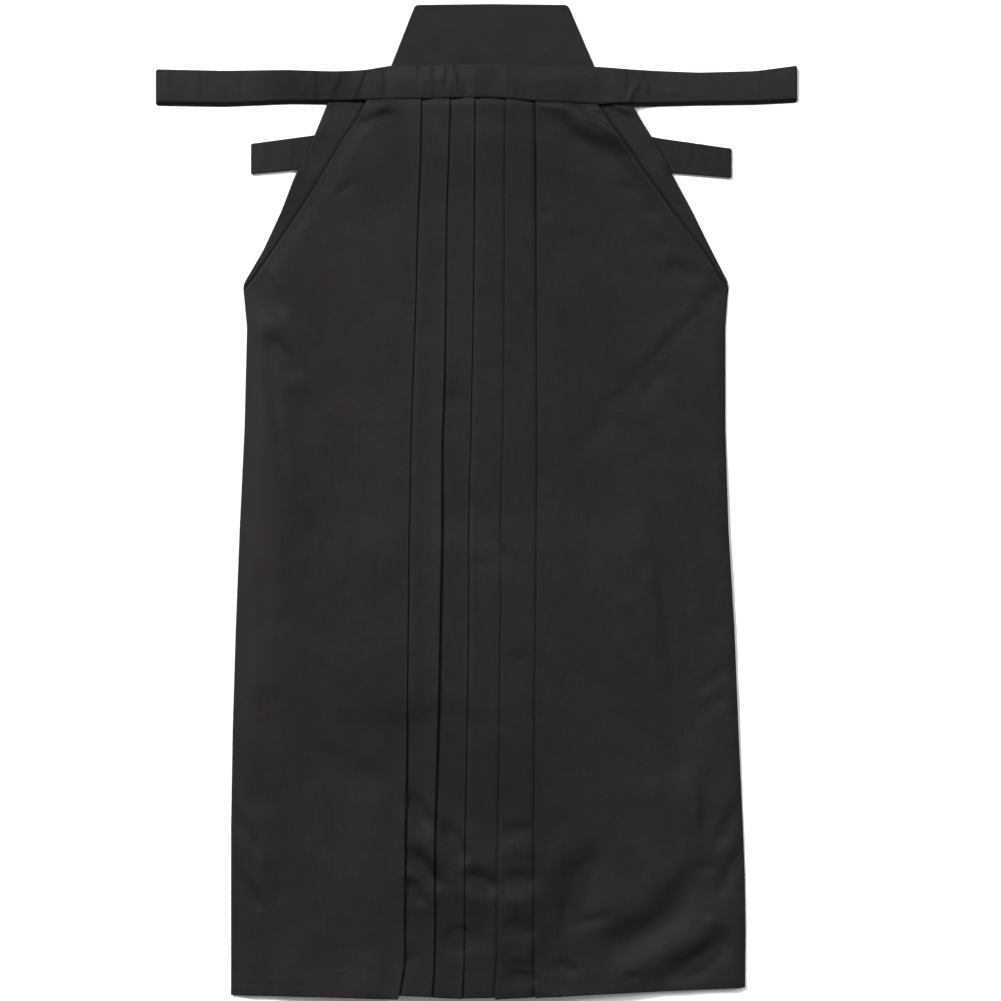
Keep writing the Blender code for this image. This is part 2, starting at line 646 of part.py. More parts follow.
class Waistband:
    """The waistband and front ties, worked out from the surface up, around the panels it holds."""

    def __init__(self):
        self.apart = PITCH
        self.low = (PITCH + WALL) / 2
        self.reach = TURN + PITCH
        ends = np.array([-TIE_REACH + self.reach, TIE_REACH - self.reach])
        self.x = np.concatenate([ends[:1], BAND_STATIONS, ends[1:]])
        self.fine = np.arange(-TIE_REACH, TIE_REACH, SAMPLE / 4)

    def return_x(self, inner_end):
        end = np.sign(inner_end) * (TIE_REACH - self.reach)
        return np.linspace(end, inner_end, RETURN_CELLS + 1)

    def ground_top(self, ground):
        """The ground's top along the band: the highest of the sections in it and just below it."""
        rows = range(TUCKED_SECTIONS + 1)
        return np.max([np.interp(self.fine, ground.x[row], ground.top[row], 0.0, 0.0)
                       for row in rows], axis=0)

    def clearing(self, x, profile):
        """Heights at x that clear a profile of tops, read between each place's neighbours."""
        floor = []
        for k in range(len(x)):
            low, high = x[max(k - 1, 0)], x[min(k + 1, len(x) - 1)]
            low, high = min(low, high), max(low, high)
            floor.append(profile[(self.fine >= low - SAMPLE) & (self.fine <= high + SAMPLE)].max())
        return settle(np.array(floor), np.diff(x))

    def lay_left_return(self, ground):
        """The left tie's folded-back part lies on the surface, under the back panel's corner."""
        self.left_x = self.return_x(LEFT_RETURN_END)
        self.left_z = np.full(len(self.left_x), self.low)
        y, half_width = line_at(BAND_LINE, self.fine)
        for x, centre, half in zip(self.fine, y - RETURN_LOWER, half_width):
            if x < LEFT_RETURN_END + SAMPLE:
                across = np.arange(-half, half + SAMPLE, SAMPLE)
                ground.raise_to(x + 0 * across, centre + across, 2 * self.low + 0 * across)

    def lay_back(self, ground):
        """The right tie's folded-back part, over the back panel's corner, then the hidden half."""
        top = self.ground_top(ground)
        self.right_x = self.return_x(RIGHT_RETURN_END)
        self.right_z = self.clearing(self.right_x, np.where(top > 0, top + GAP, 0.0)) + self.low
        order = np.argsort(self.right_x)
        over_right = np.interp(self.fine, self.right_x[order], self.right_z[order]) + self.low + GAP
        top = np.where(top > 0, top + GAP, 0.0)
        top = np.where(self.fine > RIGHT_RETURN_END - SAMPLE, np.maximum(top, over_right), top)
        over_left = self.fine < LEFT_RETURN_END + SAMPLE
        top = np.where(over_left, np.maximum(top, 2 * self.low + GAP), top)
        self.back = self.clearing(self.x, top) + WALL / 2
        for row in range(TUCKED_SECTIONS):
            covered = np.interp(ground.x[row], self.x, self.back) + WALL / 2
            ground.top[row] = np.maximum(ground.top[row], covered)

    def finish(self, ground):
        """The half that shows, over the tops of the front panels, and the whole strip."""
        top = self.ground_top(ground)
        own = np.interp(self.fine, self.x, self.back) + WALL / 2
        self.front = self.clearing(self.x, np.maximum(top, own)) + GAP + WALL / 2
        self.front = np.where(np.abs(self.x) > TIE_REACH / 2, self.back + PITCH, self.front)
        main = []
        for x, low, high in zip(self.x, self.back, self.front):
            y, half_width = line_at(BAND_LINE, x)
            main.append(Station(x, y, (low + high) / 2, half_width, high - low))
        returns = []
        for xs, zs, first in ((self.left_x, self.left_z, main[0]), (self.right_x, self.right_z, main[-1])):
            flat = []
            for x, z in zip(xs, zs):
                y, half_width = line_at(BAND_LINE, x)
                flat.append(Station(x, y - RETURN_LOWER, z, half_width, PITCH, -90.0))
            end = np.sign(xs[0]) * TIE_REACH
            turn = end_turn(BAND_LINE, end, first.z, zs[0], self.reach, RETURN_LOWER, PITCH)
            returns.append(turn + flat)
        strip("waistband", returns[0][::-1] + main + returns[1], band_profile)


def main():
    clear_scene()
    ground = Ground()
    band = Waistband()

    back_ties(ground)
    back_board(ground)
    band.lay_left_return(ground)

    back_left = lay_runs(ground, BACK_LEFT[:1], BACK_SKIPS)
    back_right = lay_runs(ground, BACK_RIGHT[:1], BACK_SKIPS)
    back_left += lay_runs(ground, BACK_LEFT[1:2], BACK_SKIPS)
    back_right += lay_runs(ground, BACK_RIGHT[1:2], BACK_SKIPS)
    back_left += lay_runs(ground, BACK_LEFT[2:], BACK_SKIPS)
    back_right += lay_runs(ground, BACK_RIGHT[2:], BACK_SKIPS)
    folded_panel("back_panel_left", ground, BACK_LEFT, back_left, True, BACK_SKIPS, BACK_LINE_GAP)
    folded_panel("back_panel_right", ground, BACK_RIGHT, back_right, True, BACK_SKIPS, BACK_LINE_GAP)
    gusset("gusset_left", ground, LEFT_GUSSET)
    gusset("gusset_right", ground, RIGHT_GUSSET)

    band.lay_back(ground)
    front_right = lay_runs(ground, FRONT_RIGHT, upwards=False)
    front_left = lay_runs(ground, FRONT_LEFT, upwards=False)
    band.finish(ground)
    lift_layers(ground, front_right + front_left)
    folded_panel("front_panel_right", ground, FRONT_RIGHT, front_right, False)
    folded_panel("front_panel_left", ground, FRONT_LEFT, front_left, False)


main()
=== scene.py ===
"""Hakama, laid out flat with the front up: its cloth, folds, creases, stitching, finish and light.

Layers of cloth lie on a level surface, z = 0, each resting on the one below.  From the surface up
they are the back ties, the back board, the two back panels, the gussets, the two front panels and the
waistband with its ties.  +X is to the right, +Y towards the waist.
"""

import bpy
import numpy as np
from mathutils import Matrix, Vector


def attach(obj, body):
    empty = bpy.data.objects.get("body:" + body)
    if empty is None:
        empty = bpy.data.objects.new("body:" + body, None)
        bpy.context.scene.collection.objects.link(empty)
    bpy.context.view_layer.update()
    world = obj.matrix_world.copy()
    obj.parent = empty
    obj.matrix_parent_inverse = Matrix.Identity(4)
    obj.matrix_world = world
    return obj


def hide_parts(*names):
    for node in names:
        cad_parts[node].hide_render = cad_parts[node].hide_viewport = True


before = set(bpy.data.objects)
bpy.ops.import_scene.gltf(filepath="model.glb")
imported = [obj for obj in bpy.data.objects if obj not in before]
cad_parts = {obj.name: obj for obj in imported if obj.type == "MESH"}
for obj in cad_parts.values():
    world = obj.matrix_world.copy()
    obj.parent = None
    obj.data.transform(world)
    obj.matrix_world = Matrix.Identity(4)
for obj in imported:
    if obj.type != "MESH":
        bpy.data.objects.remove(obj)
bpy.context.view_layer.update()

MM = 0.001


def rows(text):
    """Rows of numbers, given in mm, in metres."""
    return [np.array(row.split(), float) * MM for row in text.strip().split("\n")]


# Cloth.
WALL = 0.85 * MM
GAP = 0.49 * MM
PITCH = WALL + GAP
TURN = (WALL + PITCH) / 2  # length of a fold, from the straight cloth to its outermost point
SLOPE = 0.09               # steepest fall of a layer beside what it covers
EVENING = 6                # times that a layer is evened out
HEM_DEEP = 10.0 * MM
HEM_THICKER = 0.26 * MM    # how much thicker the turned-up hem is
HEM_STEP = 1.6 * MM
STITCH_DIP = 0.16 * MM     # how far a line of stitches draws the cloth in
STITCH_REACH = 1.2 * MM    # and how far beside it
RIM_ROUND = 0.8            # how far a rim stands out, in halves of the wall
NOSE_DEGREES = (64.0, 34.0, 0.0, -34.0, -64.0)  # where a fold's round has points

# The garment as it lies.
HALF_LENGTH = 527.4 * MM
TIE_REACH = 340.8 * MM
WAIST_Y = 425.6 * MM
FRONT_LENGTH = 951.0 * MM
CROTCH_DROP = 470.0 * MM
TUCKED = -24.0 * MM        # drop of the panels' tops, inside the waistband
FINE_FROM = 922.0 * MM     # rows of points are close from this drop down
LOWEST_DROP = 956.0 * MM
DROPS = np.concatenate([
    np.linspace(TUCKED, 90 * MM, 44)[:-1], np.linspace(90 * MM, 780 * MM, 163)[:-1],
    np.linspace(780 * MM, FINE_FROM, 47), np.linspace(FINE_FROM, LOWEST_DROP, 22)[1:],
])

# Side edges of the panels: drop below the waist seam, back left, front left, front right, back right.
EDGES = np.array(rows("""
-24 -147 -103 113 148
0 -156.5 -115.5 124.5 162
20 -164.5 -126 139.4 173.5
40 -172.5 -140.3 153.5 185.5
82 -193 -165 182.5 208.7
118 -207 -188.4 208.5 228.5
160 -226.5 -216.5 241 249.5
194 -246.5 -240 262 267
200 -248.2 -246.8 266.6 268
210 -247 -246.8 266.6 266.8
242 -244 -243.8 264.2 264.4
349 -246.7 -246.5 264.3 264.5
455 -251.8 -251.6 267.5 267.7
561 -256 -255.8 273.8 274
667 -259.2 -259 278.1 278.3
773 -261 -260.8 283 283.2
826 -261 -260.8 285 285.2
880 -261 -260.8 285.8 286
951 -261 -260.8 285.2 285.4
"""))
EDGE_SOFTNESS = 3.0 * MM   # their corners are rounded over this length, either way

# Folded edges of the front pleats: drop, then x of each.
PLEATS = np.array(rows("""
-24 -58 -27.6 -1 31.6 61.6
6 -58.4 -28 -2 31.2 62.4
58 -59.3 -29.6 -2.2 30.5 63.8
109 -61.6 -31.6 -2.5 30 63.9
160 -63.2 -32.4 -2.9 30.2 63.9
211 -64.3 -32.7 -3.4 29.4 63.9
262 -66.1 -33.4 -4.1 29.4 64.1
313 -68.2 -34.6 -5.4 29.1 64.3
364 -69.8 -36.9 -6.2 28.4 64.6
415 -70.4 -36.9 -8.2 26.8 64.3
465 -71.5 -36.9 -8.4 26.1 63.5
542 -72.2 -38.5 -8.4 26.2 63
618 -73.2 -39.8 -9.3 25.2 61.9
694 -73.8 -41.8 -10.7 24.4 62
771 -75.4 -44.3 -12.2 23.4 60.8
822 -75.8 -44.7 -12.9 21.9 61.6
872 -76.6 -44.3 -13.2 22.2 61.2
910 -75.9 -45 -13.2 22.4 61.3
928 -77.9 -45.4 -13.8 20.6 60.9
945 -81.6 -47 -15.2 19.6 61.6
956 -83 -47.6 -15.8 19 61.8
"""))
PLEAT_SOFTNESS = 12.0 * MM
OUTER_PLEAT_DEPTH = 30.0 * MM
CENTRE_BACK = (8.0 * MM, 10.0 * MM)

# How far the pleats' edges stand open above what they cover: drop, then each pleat.
OPENINGS = np.array(rows("""
-24 0 0 0 0 0
8 0.2 0.5 0 0 0.2
60 0.6 0.2 0 0 0.3
160 -0.2 0 -0.1 0 0.2
260 -0.2 0.8 -0.3 0 0
360 -0.2 1.8 -0.4 0 0
420 -0.2 2.8 -0.4 0 0
540 -0.1 2.7 -0.4 0 0
640 0.2 2.7 -0.4 0 0
720 2.2 2.6 -0.3 0 0
800 2.6 2.2 0.1 0 0
870 2 1.6 0.1 0.2 0.2
956 1 1.2 0.6 0.6 0.6
"""))
OPENING_WIDTH = 8.0 * MM
# How far the strip beside a pleat's edge stands up next to it, or dips under it where negative.
BESIDE = np.array(rows("""
-24 0 0 0 0 0
10 0.2 0.2 0.3 -1.4 -3.4
70 0.3 0.3 0.6 -1.4 -3.4
130 0.7 0.4 0.9 -1.3 -1.8
260 1.1 0.7 1.2 -1.1 -1.2
600 1.1 0.4 1.6 -1 -0.8
700 0.4 0.3 1.5 -1.1 -1
840 0.2 0.5 1.1 -1.2 -1.4
956 0.6 0.8 0.8 -1.2 -1.6
"""))
RISE_AT = 3.0 * MM         # from the edge to the top of such a rise
RISE_WIDTHS = (1.9 * MM, 10.0 * MM)  # towards the edge, and away from it
DIP_WIDTH = 2.6 * MM
DIP_MOST = 0.92            # share of the room under the strip that a dip may take

# Lines down the garment, each with the shares of the way to the next one where columns of points
# stand: closer beside the edges.
EDGE_SHARES = (0.0, 0.06, 0.14, 0.24, 0.35, 0.46, 0.57, 0.68, 0.78, 0.87, 0.94)
STRIP_SHARES = (0.0, 0.09, 0.2, 0.34, 0.5, 0.68, 0.86, 0.955)
SIDE_SHARES = np.arange(42) / 42
KNOTS = (
    ("outer_left", EDGE_SHARES), ("left", SIDE_SHARES), ("turn_0", STRIP_SHARES),
    ("pleat_0", STRIP_SHARES), ("pleat_1", STRIP_SHARES),
    ("pleat_2", [2 * s for s in STRIP_SHARES[:4]]), ("centre", [2 * s - 1 for s in STRIP_SHARES[4:]]),
    ("pleat_3", STRIP_SHARES), ("pleat_4", STRIP_SHARES), ("turn_4", SIDE_SHARES),
    ("right", [0.0] + [1 - s for s in EDGE_SHARES[:0:-1]]), ("outer_right", (0.0,)),
)
HIDDEN_FOLDS = (("near", 3), ("far", 5))  # they lie this many columns to the right of a pleat

# Runs of cloth of each folded panel, as in the solids: from a line to a line, with the drops in mm of
# the hem at the start and at the end.
RUNS = {
    "front_left": (
        ("left", "pleat_0", 950.4, 953.0), ("pleat_0", "turn_0", 949.0, 947.4),
        ("turn_0", "pleat_1", 948.2, 950.8), ("pleat_1", "near_0", 949.4, 948.6),
        ("near_0", "pleat_2", 950.0, 953.0), ("pleat_2", "near_1", 951.0, 950.0),
    ),
    "front_right": (
        ("right", "pleat_4", 942.4, 951.5), ("pleat_4", "turn_4", 949.4, 947.4),
        ("turn_4", "pleat_3", 948.8, 953.0), ("pleat_3", "far_3", 951.4, 950.2),
        ("far_3", "far_1", 950.6, 953.0),
    ),
    "back_left": (
        ("outer_left", "centre", 941.0, 945.0), ("centre", "pleat_1", 944.0, 943.6),
        ("pleat_1", "pleat_3", 943.6, 944.0),
    ),
    "back_right": (
        ("outer_right", "centre", 938.4, 945.0), ("centre", "far_3", 944.0, 943.6),
        ("far_3", "pleat_3", 943.6, 944.0),
    ),
}
BACK_LINE_GAP = 0.25 * MM
# Open pleats of the front: the pleat, the first of the two runs that meet in it, and the run of the
# strip beside it.
OPEN_PLEATS = {
    "front_left": ((0, 0, 2), (1, 2, 4), (2, 4, None)),
    "front_right": ((4, 0, 2), (3, 2, 4), (2, None, 4)),
}
# Seams: the slit's line, the way to its cloth, and for each sewn hem its run, from a line to a line.
SEAMS = {
    "back_left": ("outer_left", 1, ((0, "outer_left", "centre"),)),
    "back_right": ("outer_right", -1, ((0, "centre", "outer_right"),)),
    "front_right": ("right", -1, ((0, "pleat_4", "right"), (2, "pleat_3", "pleat_4"),
                                  (4, "pleat_2", "pleat_3"))),
    "front_left": ("left", 1, ((0, "left", "pleat_0"), (2, "pleat_0", "pleat_1"),
                               (4, "pleat_1", "pleat_2"))),
}

# Gussets: their left line at the crotch and at the hem, then their right one.
GUSSETS = {
    "gusset_left": ("far_1", "near_1", "centre", "pleat_3"),
    "gusset_right": ("pleat_2", "far_1", "pleat_3", "near_3"),
}
GUSSET_AT_CROTCH = 0.15
GUSSET_HEM_DROP = 942.0 * MM
GUSSET_CELLS = 16

# Creases: height (a trough's is negative), widths above and below its line, and x and y of the points
# that it goes through from left to right.
FRONT_CREASES = rows("""
3.2 5 8  -138 408  -123 415  -104 420  -83 422
-2.4 3.4 10  -134 395  -115 403  -96 409  -79 410
-1.6 3 4  -157 399  -145 414  -137 420
-1.4 4 6  -153 325  -139 331  -131 342
-6.2 9 14  -233 246  -223 227  -213 210  -201 191
1.8 6 8  -227 208  -213 183  -196 155
-5.4 10 14  -221 185  -209 162  -198 145  -184 121
-2.6 9 16  -192 136  -184 112  -176 86  -170 56
-2.4 6 8  -228 183  -221 146  -214 103  -208 56  -197 11
1.5 4 7  -235 204  -227 172  -217 132
-1.2 9 8  -179 3  -175 -24  -178 -50
-1.4 10 7  -236 -61  -229 -103  -223 -156
-4.4 6 6  -264 -322  -252 -338  -240 -358  -230 -382
-4 6 6  -264 -380  -252 -396  -240 -414  -228 -440
1.6 6 8  -258 -345  -246 -364  -238 -384
-2 12 10  -227 -379  -217 -405  -198 -434
-1.8 14 16  -227 -188  -221 -225  -202 -273
-1.6 12 12  -139 -284  -121 -299  -97 -317
4.6 9 12  44 441  62 435  80 428  102 410  120 397  137 387  161 378  178 372
3.2 3 5  89 427  103 418  120 404  135 397  154 381  167 374
2 2.5 3  95 422  112 422  129 418  142 409
-3.8 10 20  50 422  67 414  84 399  99 387  116 378  133 370  157 365  175 361
-1.2 7 6  169 308  186 307  199 309
-2.6 10 14  195 255  211 246  231 240  245 238
-1.6 6 8  150 338  161 331  169 329
-1.6 3 5  68 310  74 304  78 297
-1.4 8 12  186 282  197 274  207 266
-2.4 9 26  228 202  243 213  258 221  271 229
-3.6 8 28  152 115  171 135  188 150  203 165  209 174  222 186  235 196  248 209  260 222
-1.6 5 20  118 87  137 104  163 120  182 140
-2.2 4 12  171 104  182 121  190 132  203 149
1 3 4  188 147  199 153  209 161
-1.4 2.5 3  235 185  250 188  262 188
-1 2 3  237 174  250 179  262 179
-1.6 12 14  89 34  120 66  150 100
-0.9 6 8  -56 193  -51 167
-1.2 4 14  -3 223  25 217
-1.2 6 8  -7 138  23 143
-1.2 6 14  -44 104  -24 109  -2 112
-5 7 12  -39 75  -22 34  -7 -3  21 -48  61 -93
-1.5 5 12  29 -162  61 -168
-1.4 5 10  -7 -61  23 -69
-1.8 16 50  -176 -246  -112 -238  -70 -240  -34 -229  -7 -234  25 -240  84 -233  130 -246
-2.6 14 24  -190 -262  -140 -282  -110 -296  -84 -310
-7.4 11 12  -76 -306  -64 -326  -47 -356
-9 10 11  -74 -362  -60 -380  -46 -402  -38 -420
-6.4 8 9  -73 -396  -64 -413  -56 -432
2 6 6  -68 -360  -56 -370  -43 -385
-7 10 12  -40 -338  -24 -358  -9 -390
-9.4 9 11  -11 -387  -1 -397  12 -407  25 -415
1.8 7 7  -34 -392  -22 -404  -11 -421
-7.6 12 16  -36 -476  -20 -464  -7 -452
-1.8 8 9  -7 -448  6 -464  12 -480
-1.4 8 8  -76 -480  -64 -490
-3 6 12  25 -350  63 -346
1.6 8 8  25 -368  63 -373
-6.2 10 14  30 -392  48 -400  64 -407
1.6 9 9  25 -427  57 -421
-6 10 14  31 -440  48 -453  64 -462
2.2 9 7  31 -483  61 -485
-5.6 6 7  29 -500  46 -505  67 -508
-3.4 14 18  67 -453  80 -427  89 -400  101 -377
-7 20 18  80 -466  97 -442  106 -418  113 -392  120 -372  128 -358
-2 6 8  101 -449  129 -443  154 -434
-2.6 7 9  78 -491  91 -493  110 -502
-5.6 20 20  112 -482  150 -472  186 -455  208 -434  224 -410  235 -382  242 -352
-7.6 21 14  190 -508  214 -500  237 -491  255 -475  267 -461  273 -446
-2 5 6  165 -498  169 -510
2.6 9 24  190 -286  193 -331  200 -381
2.4 9 14  222 -275  228 -315  237 -364
-4.4 26 14  184 13  195 -50  204 -109  213 -162  214 -217  211 -273  209 -334
-3.6 18 8  246 -273  245 -310  243 -337  237 -364
-2 6 6  233 -392  245 -390  256 -387
-1.8 6 6  233 -438  243 -437  252 -443
-5 8 6  281 -311  272 -331  264 -349  252 -373
-5 8 6  282 -366  274 -381  266 -397  254 -426
2.4 6 10  267 -437  272 -474  274 -527
-1.8 5 9  220 -209  237 -199  260 -180  277 -175
-2 6 10  226 -254  239 -225  258 -211  279 -209
""")
# Broad swells of the front.
FRONT_SWELLS = rows("""
7.4 26 24  130 -510  168 -494  201 -480  223 -471  240 -456  254 -438  268 -410
5.6 24 26  104 -340  90 -400  72 -470
3 14 14  -130 400  -104 409  -76 414
7.6 46 26  108 -452  129 -444  157 -435  183 -419  200 -402  214 -380  222 -350
6.6 28 26  -68 -300  -56 -379  -60 -453
6.2 24 24  -28 -330  -7 -400  10 -453
6.2 26 26  44 -330  44 -421  46 -506
2.5 16 20  89 410  131 391  173 367
2.8 22 26  -236 232  -206 162  -187 98
2.4 34 30  -227 183  -223 77  -227 -40  -229 -167
2 24 22  -238 -315  -227 -379  -219 -443
3.6 22 60  173 24  179 -61  184 -146  189 -209
3.2 16 28  267 109  267 24  271 -61  274 -156  277 -273  279 -358
2 20 20  262 215  216 172  173 121
""")
HEM_RIPPLES = rows("""
2.6 20 22  -196 -540  -192 -500  -180 -440
2 16 18  -110 -540  -112 -505  -120 -470
1.6 16 14  96 -540  98 -515
2.2 18 22  212 -540  216 -505
""")
BACK_CREASES = rows("""
6.5 22 12  182 410  190 397  197 384  205 366  215 344
3.2 9 3  120 426  136 424  149 419  160 413  176 409
1.2 5 5  -150 414  -163 396  -168 378
1 5 5  214 330  226 306  238 282
-1.2 4 5  208 318  222 312
1 4 4  -198 334  -212 306  -226 282
-1.2 4 4  -186 372  -178 356  -180 340
""")
# Shallow folds in the layer that lies on the surface: they lift everything above them.
UNDER_FOLDS = rows("""
1.3 14 18  -236 60  -170 20  -110 -50
1 12 12  -60 210  -90 150  -150 110
1.2 16 12  120 150  150 60  210 10
1.1 14 14  -200 -240  -150 -300  -60 -330
1.3 16 14  90 -210  150 -250  230 -260
""")
PUFF = 3.2 * MM            # how far the front stands off the layers below, where it is calm
PUFF_NOISES = ((0.9 * MM, 70 * MM, 11), (0.16 * MM, 17 * MM, 3))  # height, cell and seed
UNDER_BELOW = (105 * MM, 60 * MM)  # those folds begin at this drop, and are full so far below it
EDGE_CALM = (26.0 * MM, 10.0 * MM)  # beside the left and the right edge
EDGE_LOOSE = 0.55          # share of a crease that is left at the very edge
SLIT_DROP = 198.0 * MM     # the side slits end here
# How far the front's slit edges stand off: drop, left, right.
SLIT_STAND = np.array(rows("""
-24 0 0
4 0.3 4
30 0.4 6
66 0.4 5.4
110 0.3 2.8
198 0.4 1
"""))
SLIT_CURL = 2.4            # the right one curls up over this many of the right edge's calm lengths
SLIT_ROLL = (0.5, 3.4 * MM)  # share of that height at its very edge, and how far in it is full
FACING_PUFF = 1.5 * MM     # how far the back stands up beside them, and how fast it falls there
FACING_FALL = 3.2 * MM
SLIT_HEM = (6.0 * MM, 0.6 * MM)  # their turned-in width, and how much thicker it makes them
WAIST_RISE = 6.0 * MM      # length over which the panels rise from under the band's edge
CREASE_SHOULDER = 0.30     # cloth pushed up beside a crease, against its depth
CREASE_FADE = 0.34         # share of its length over which a crease grows at either end
CREASE_UNEVEN = 0.35       # share by which its height varies
CREASE_CELL = 24 * MM      # and over what length
PATH_STEPS = 8

# Waistband and front ties: x, y and half width along their line.
BAND_LINE = np.array(rows("""
-340.8 441 17.2
-267.7 439.6 17
-199.8 441.5 16.1
-152.1 440.4 15.4
-119.3 441.1 15.6
-89.6 443.7 17.9
-54.6 443.9 18
14.3 445 17.4
62 442.4 19
127.7 440.4 19.8
154.2 439.8 18
236.9 439.3 15.4
296.3 440.5 15.8
340.8 444.6 17.6
"""))
BAND_SOFTNESS = 6.0 * MM
BAND_STEP = 1.3 * MM
BAND_CELLS = 12            # cells across either half of the folded band
BAND_FALL = 0.40           # steepest fall of the band along its length
BAND_EVENING = 150
BAND_BACK_SHORTER = 1.4 * MM
BAND_CROWN = 0.5 * MM
BAND_NOISE = 0.25 * MM
BAND_NOISE_CELL = 13 * MM
BAND_TUCK = 0.6            # share of the room under the band's fold that it comes down by
TUCK_FROM = 0.55           # share of its width where it starts to come down
BAND_DIP_MOST = 0.45       # share of the room under the band that a dip may take
LEFT_RETURN_END = -135.0 * MM
RIGHT_RETURN_END = 148.0 * MM
RETURN_LOWER = 3.6 * MM
BAND_CREASES = rows("""
1.4 9 2.4  -171 414  -172 443  -174 469
0.7 4 2  -181 429  -183 448
1.3 8 2.8  -155 414  -153 433  -147 448  -144 469
0.8 3 2  -157 441  -158 467
1.6 9 2.4  -133 414  -127 435  -122 448  -116 469
-1 2.6 8  -98 414  -97 448  -99 469
-1 2.2 8  -61 435  -60 469
-1.4 2.2 8  -45 441  -46 469
-1.6 2.4 8  -36 431  -32 448  -31 469
-2.4 2.6 9  -15 433  -20 454  -25 469
-1.2 3 8  -46 414  -42 448
-1.4 3 8  -15 414  -11 448
-1.4 5 10  131 414  132 444  131 471
1.8 9 2.6  157 414  157 444  156 471
1.6 6 2.2  176 441  178 473
2.8 4 2.6  158 414  163 428  167 436  176 445
2 2.4 2  181 429  181 440  175 448
-1.4 1.8 1.8  176 430  174 438  171 444
1.4 2 1.6  173 429  178 436  182 445
0.8 2 3  184 431  203 435  226 432
0.9 3 2.2  207 418  206 439
-0.6 3 8  -249 414  -251 469
0.7 8 2.4  -295 414  -297 469
0.6 7 2.4  -328 414  -327 469
0.9 9 2.6  248 416  245 471
0.8 8 2.6  299 416  301 471
""")

# Back board and back ties.
BOARD_THICK = 3.0 * MM
BOARD_HEIGHT = 142.0 * MM
BOARD_TOP = (15.9 * MM, 80.8 * MM)  # its middle and half its width
BOARD_FOOT = (18.4 * MM, 138.8 * MM)
BOARD_CROWN = 0.6 * MM
BOARD_CORNER = 3.0 * MM
BOARD_RIM = 1.1 * MM
BOARD_RIM_DRAWN = 0.92     # share of that by which either face is drawn in at the very edge
BOARD_SEAM = (5 * MM, 1.3 * MM)  # from its rim to the line that is drawn in, and that line's reach
BOARD_NOISE = 0.12 * MM
BOARD_CELLS = (56, 72)     # along its height and across it
TIE_WALL = 1.6 * MM
TIE_EDGE = 0.06 ** 0.5     # share of the wall that is left at the very edge
BACK_TIE_LINE = np.array(rows("""
-240 363 15.9
-182 369.6 17.2
-110 378.5 17
14 391 17
130 381 17
194.5 367.2 17.6
271.3 358.4 15.4
"""))
TIE_SOFTNESS = 8.0 * MM
TIE_STEP = 3.0 * MM
BACK_RETURN = 98.0 * MM
BACK_TIE_SEAM = 32         # stations at either end that have stitches
TIE_CREASES = rows("""
0.6 4 2  -229 350  -227 384
-0.5 3 4  -215 350  -217 384
0.7 3 1.6  -199 348  -196 384
-0.5 3 3  -187 350  -186 384
0.8 5 2  224 346  226 386
-0.5 2 3  236 346  233 384
0.7 3 1.4  241 363  240 384
0.7 4 1.6  254 342  253 378
0.6 3 1.4  264 340  266 374
0.5 3 2  214 352  211 384
0.4 5 5  67 374  89 416
0.4 5 5  -79 374  -102 416
""")

# Stitches: their length, the way from one to the next, and their thickness.
BAND_STITCH = (2.6 * MM, 4.0 * MM, 0.34 * MM)
HEM_STITCH = (2.0 * MM, 7.0 * MM, 0.24 * MM)
TIE_STITCH = (2.6 * MM, 4.0 * MM, 0.32 * MM)
EDGE_INSET = 3.0 * MM      # from a sewn edge to its line of stitches
SLIT_INSET = 5.0 * MM
HEM_SEAM_ROW = -8          # a row of points close to the hems' seams
UPWARDS = np.array([[0.0, 0.0, 1.0]])
# Stitches that hold a tuck in the band: x and y of the middle, length, and direction in degrees.
TACK = ((175, 443, 6, 60), (178, 440, 6, 110), (180, 444, 6, 130), (177, 437, 5, 30), (181, 438, 5, 75),
        (174, 439, 5, 20))
TACK_LIFT = 0.5 * MM

# Weave, dye, sheen and painted light.  Each cloth: its darker and lighter colour, and how far its slubs and
# its weave show.
TWILL = ((0.0076, 0.0067, 0.0080, 1), (0.0132, 0.0116, 0.0137, 1), 0.5, 0.5)
BOARD_TWILL = ((0.0080, 0.0071, 0.0084, 1), (0.0134, 0.0118, 0.0139, 1), 0.4, 0.4)
YARN = 0.62 * MM
SLUB_SCALES = ((520.0, 34.0, 1.0), (34.0, 460.0, 1.0))  # along and across the cloth
BUMP = 0.14 * MM
SHEEN = 0.085
THREAD_COLOUR = (0.020, 0.018, 0.021)
PAINTED_SHADE_LOW_MIDDLE = (10 * MM, -190 * MM, 150 * MM, 90 * MM)  # painted shade, darker in the lower middle: its middle, its top, half its width, and its onset
PAINTED_HIGHLIGHT_LEFT_SIDE = (-196 * MM, -246 * MM)  # painted highlight along the left side: paler from here to there
# that painted highlight grows from nothing at the first height to full at the second
PAINTED_HIGHLIGHT_ABOVE = (-290 * MM, -50 * MM)
TIE_LEVEL = (415 * MM, 420 * MM)  # the ties lie above this
# painted highlight: the band and ties paler to the right of these
PAINTED_HIGHLIGHT_TIE = (130 * MM, 190 * MM)
# the band and ties darker to the left of these
DARK_TIE = (-108 * MM, -140 * MM)
DARK_PATCH = (-100 * MM, -225 * MM, 130 * MM)  # its middle, and its reach
# What the black is multiplied by where it leans to green and where it leans to red.
COOL = (0.93, 1.05, 1.0, 1.0)
WARM = (1.07, 0.95, 1.03, 1.0)

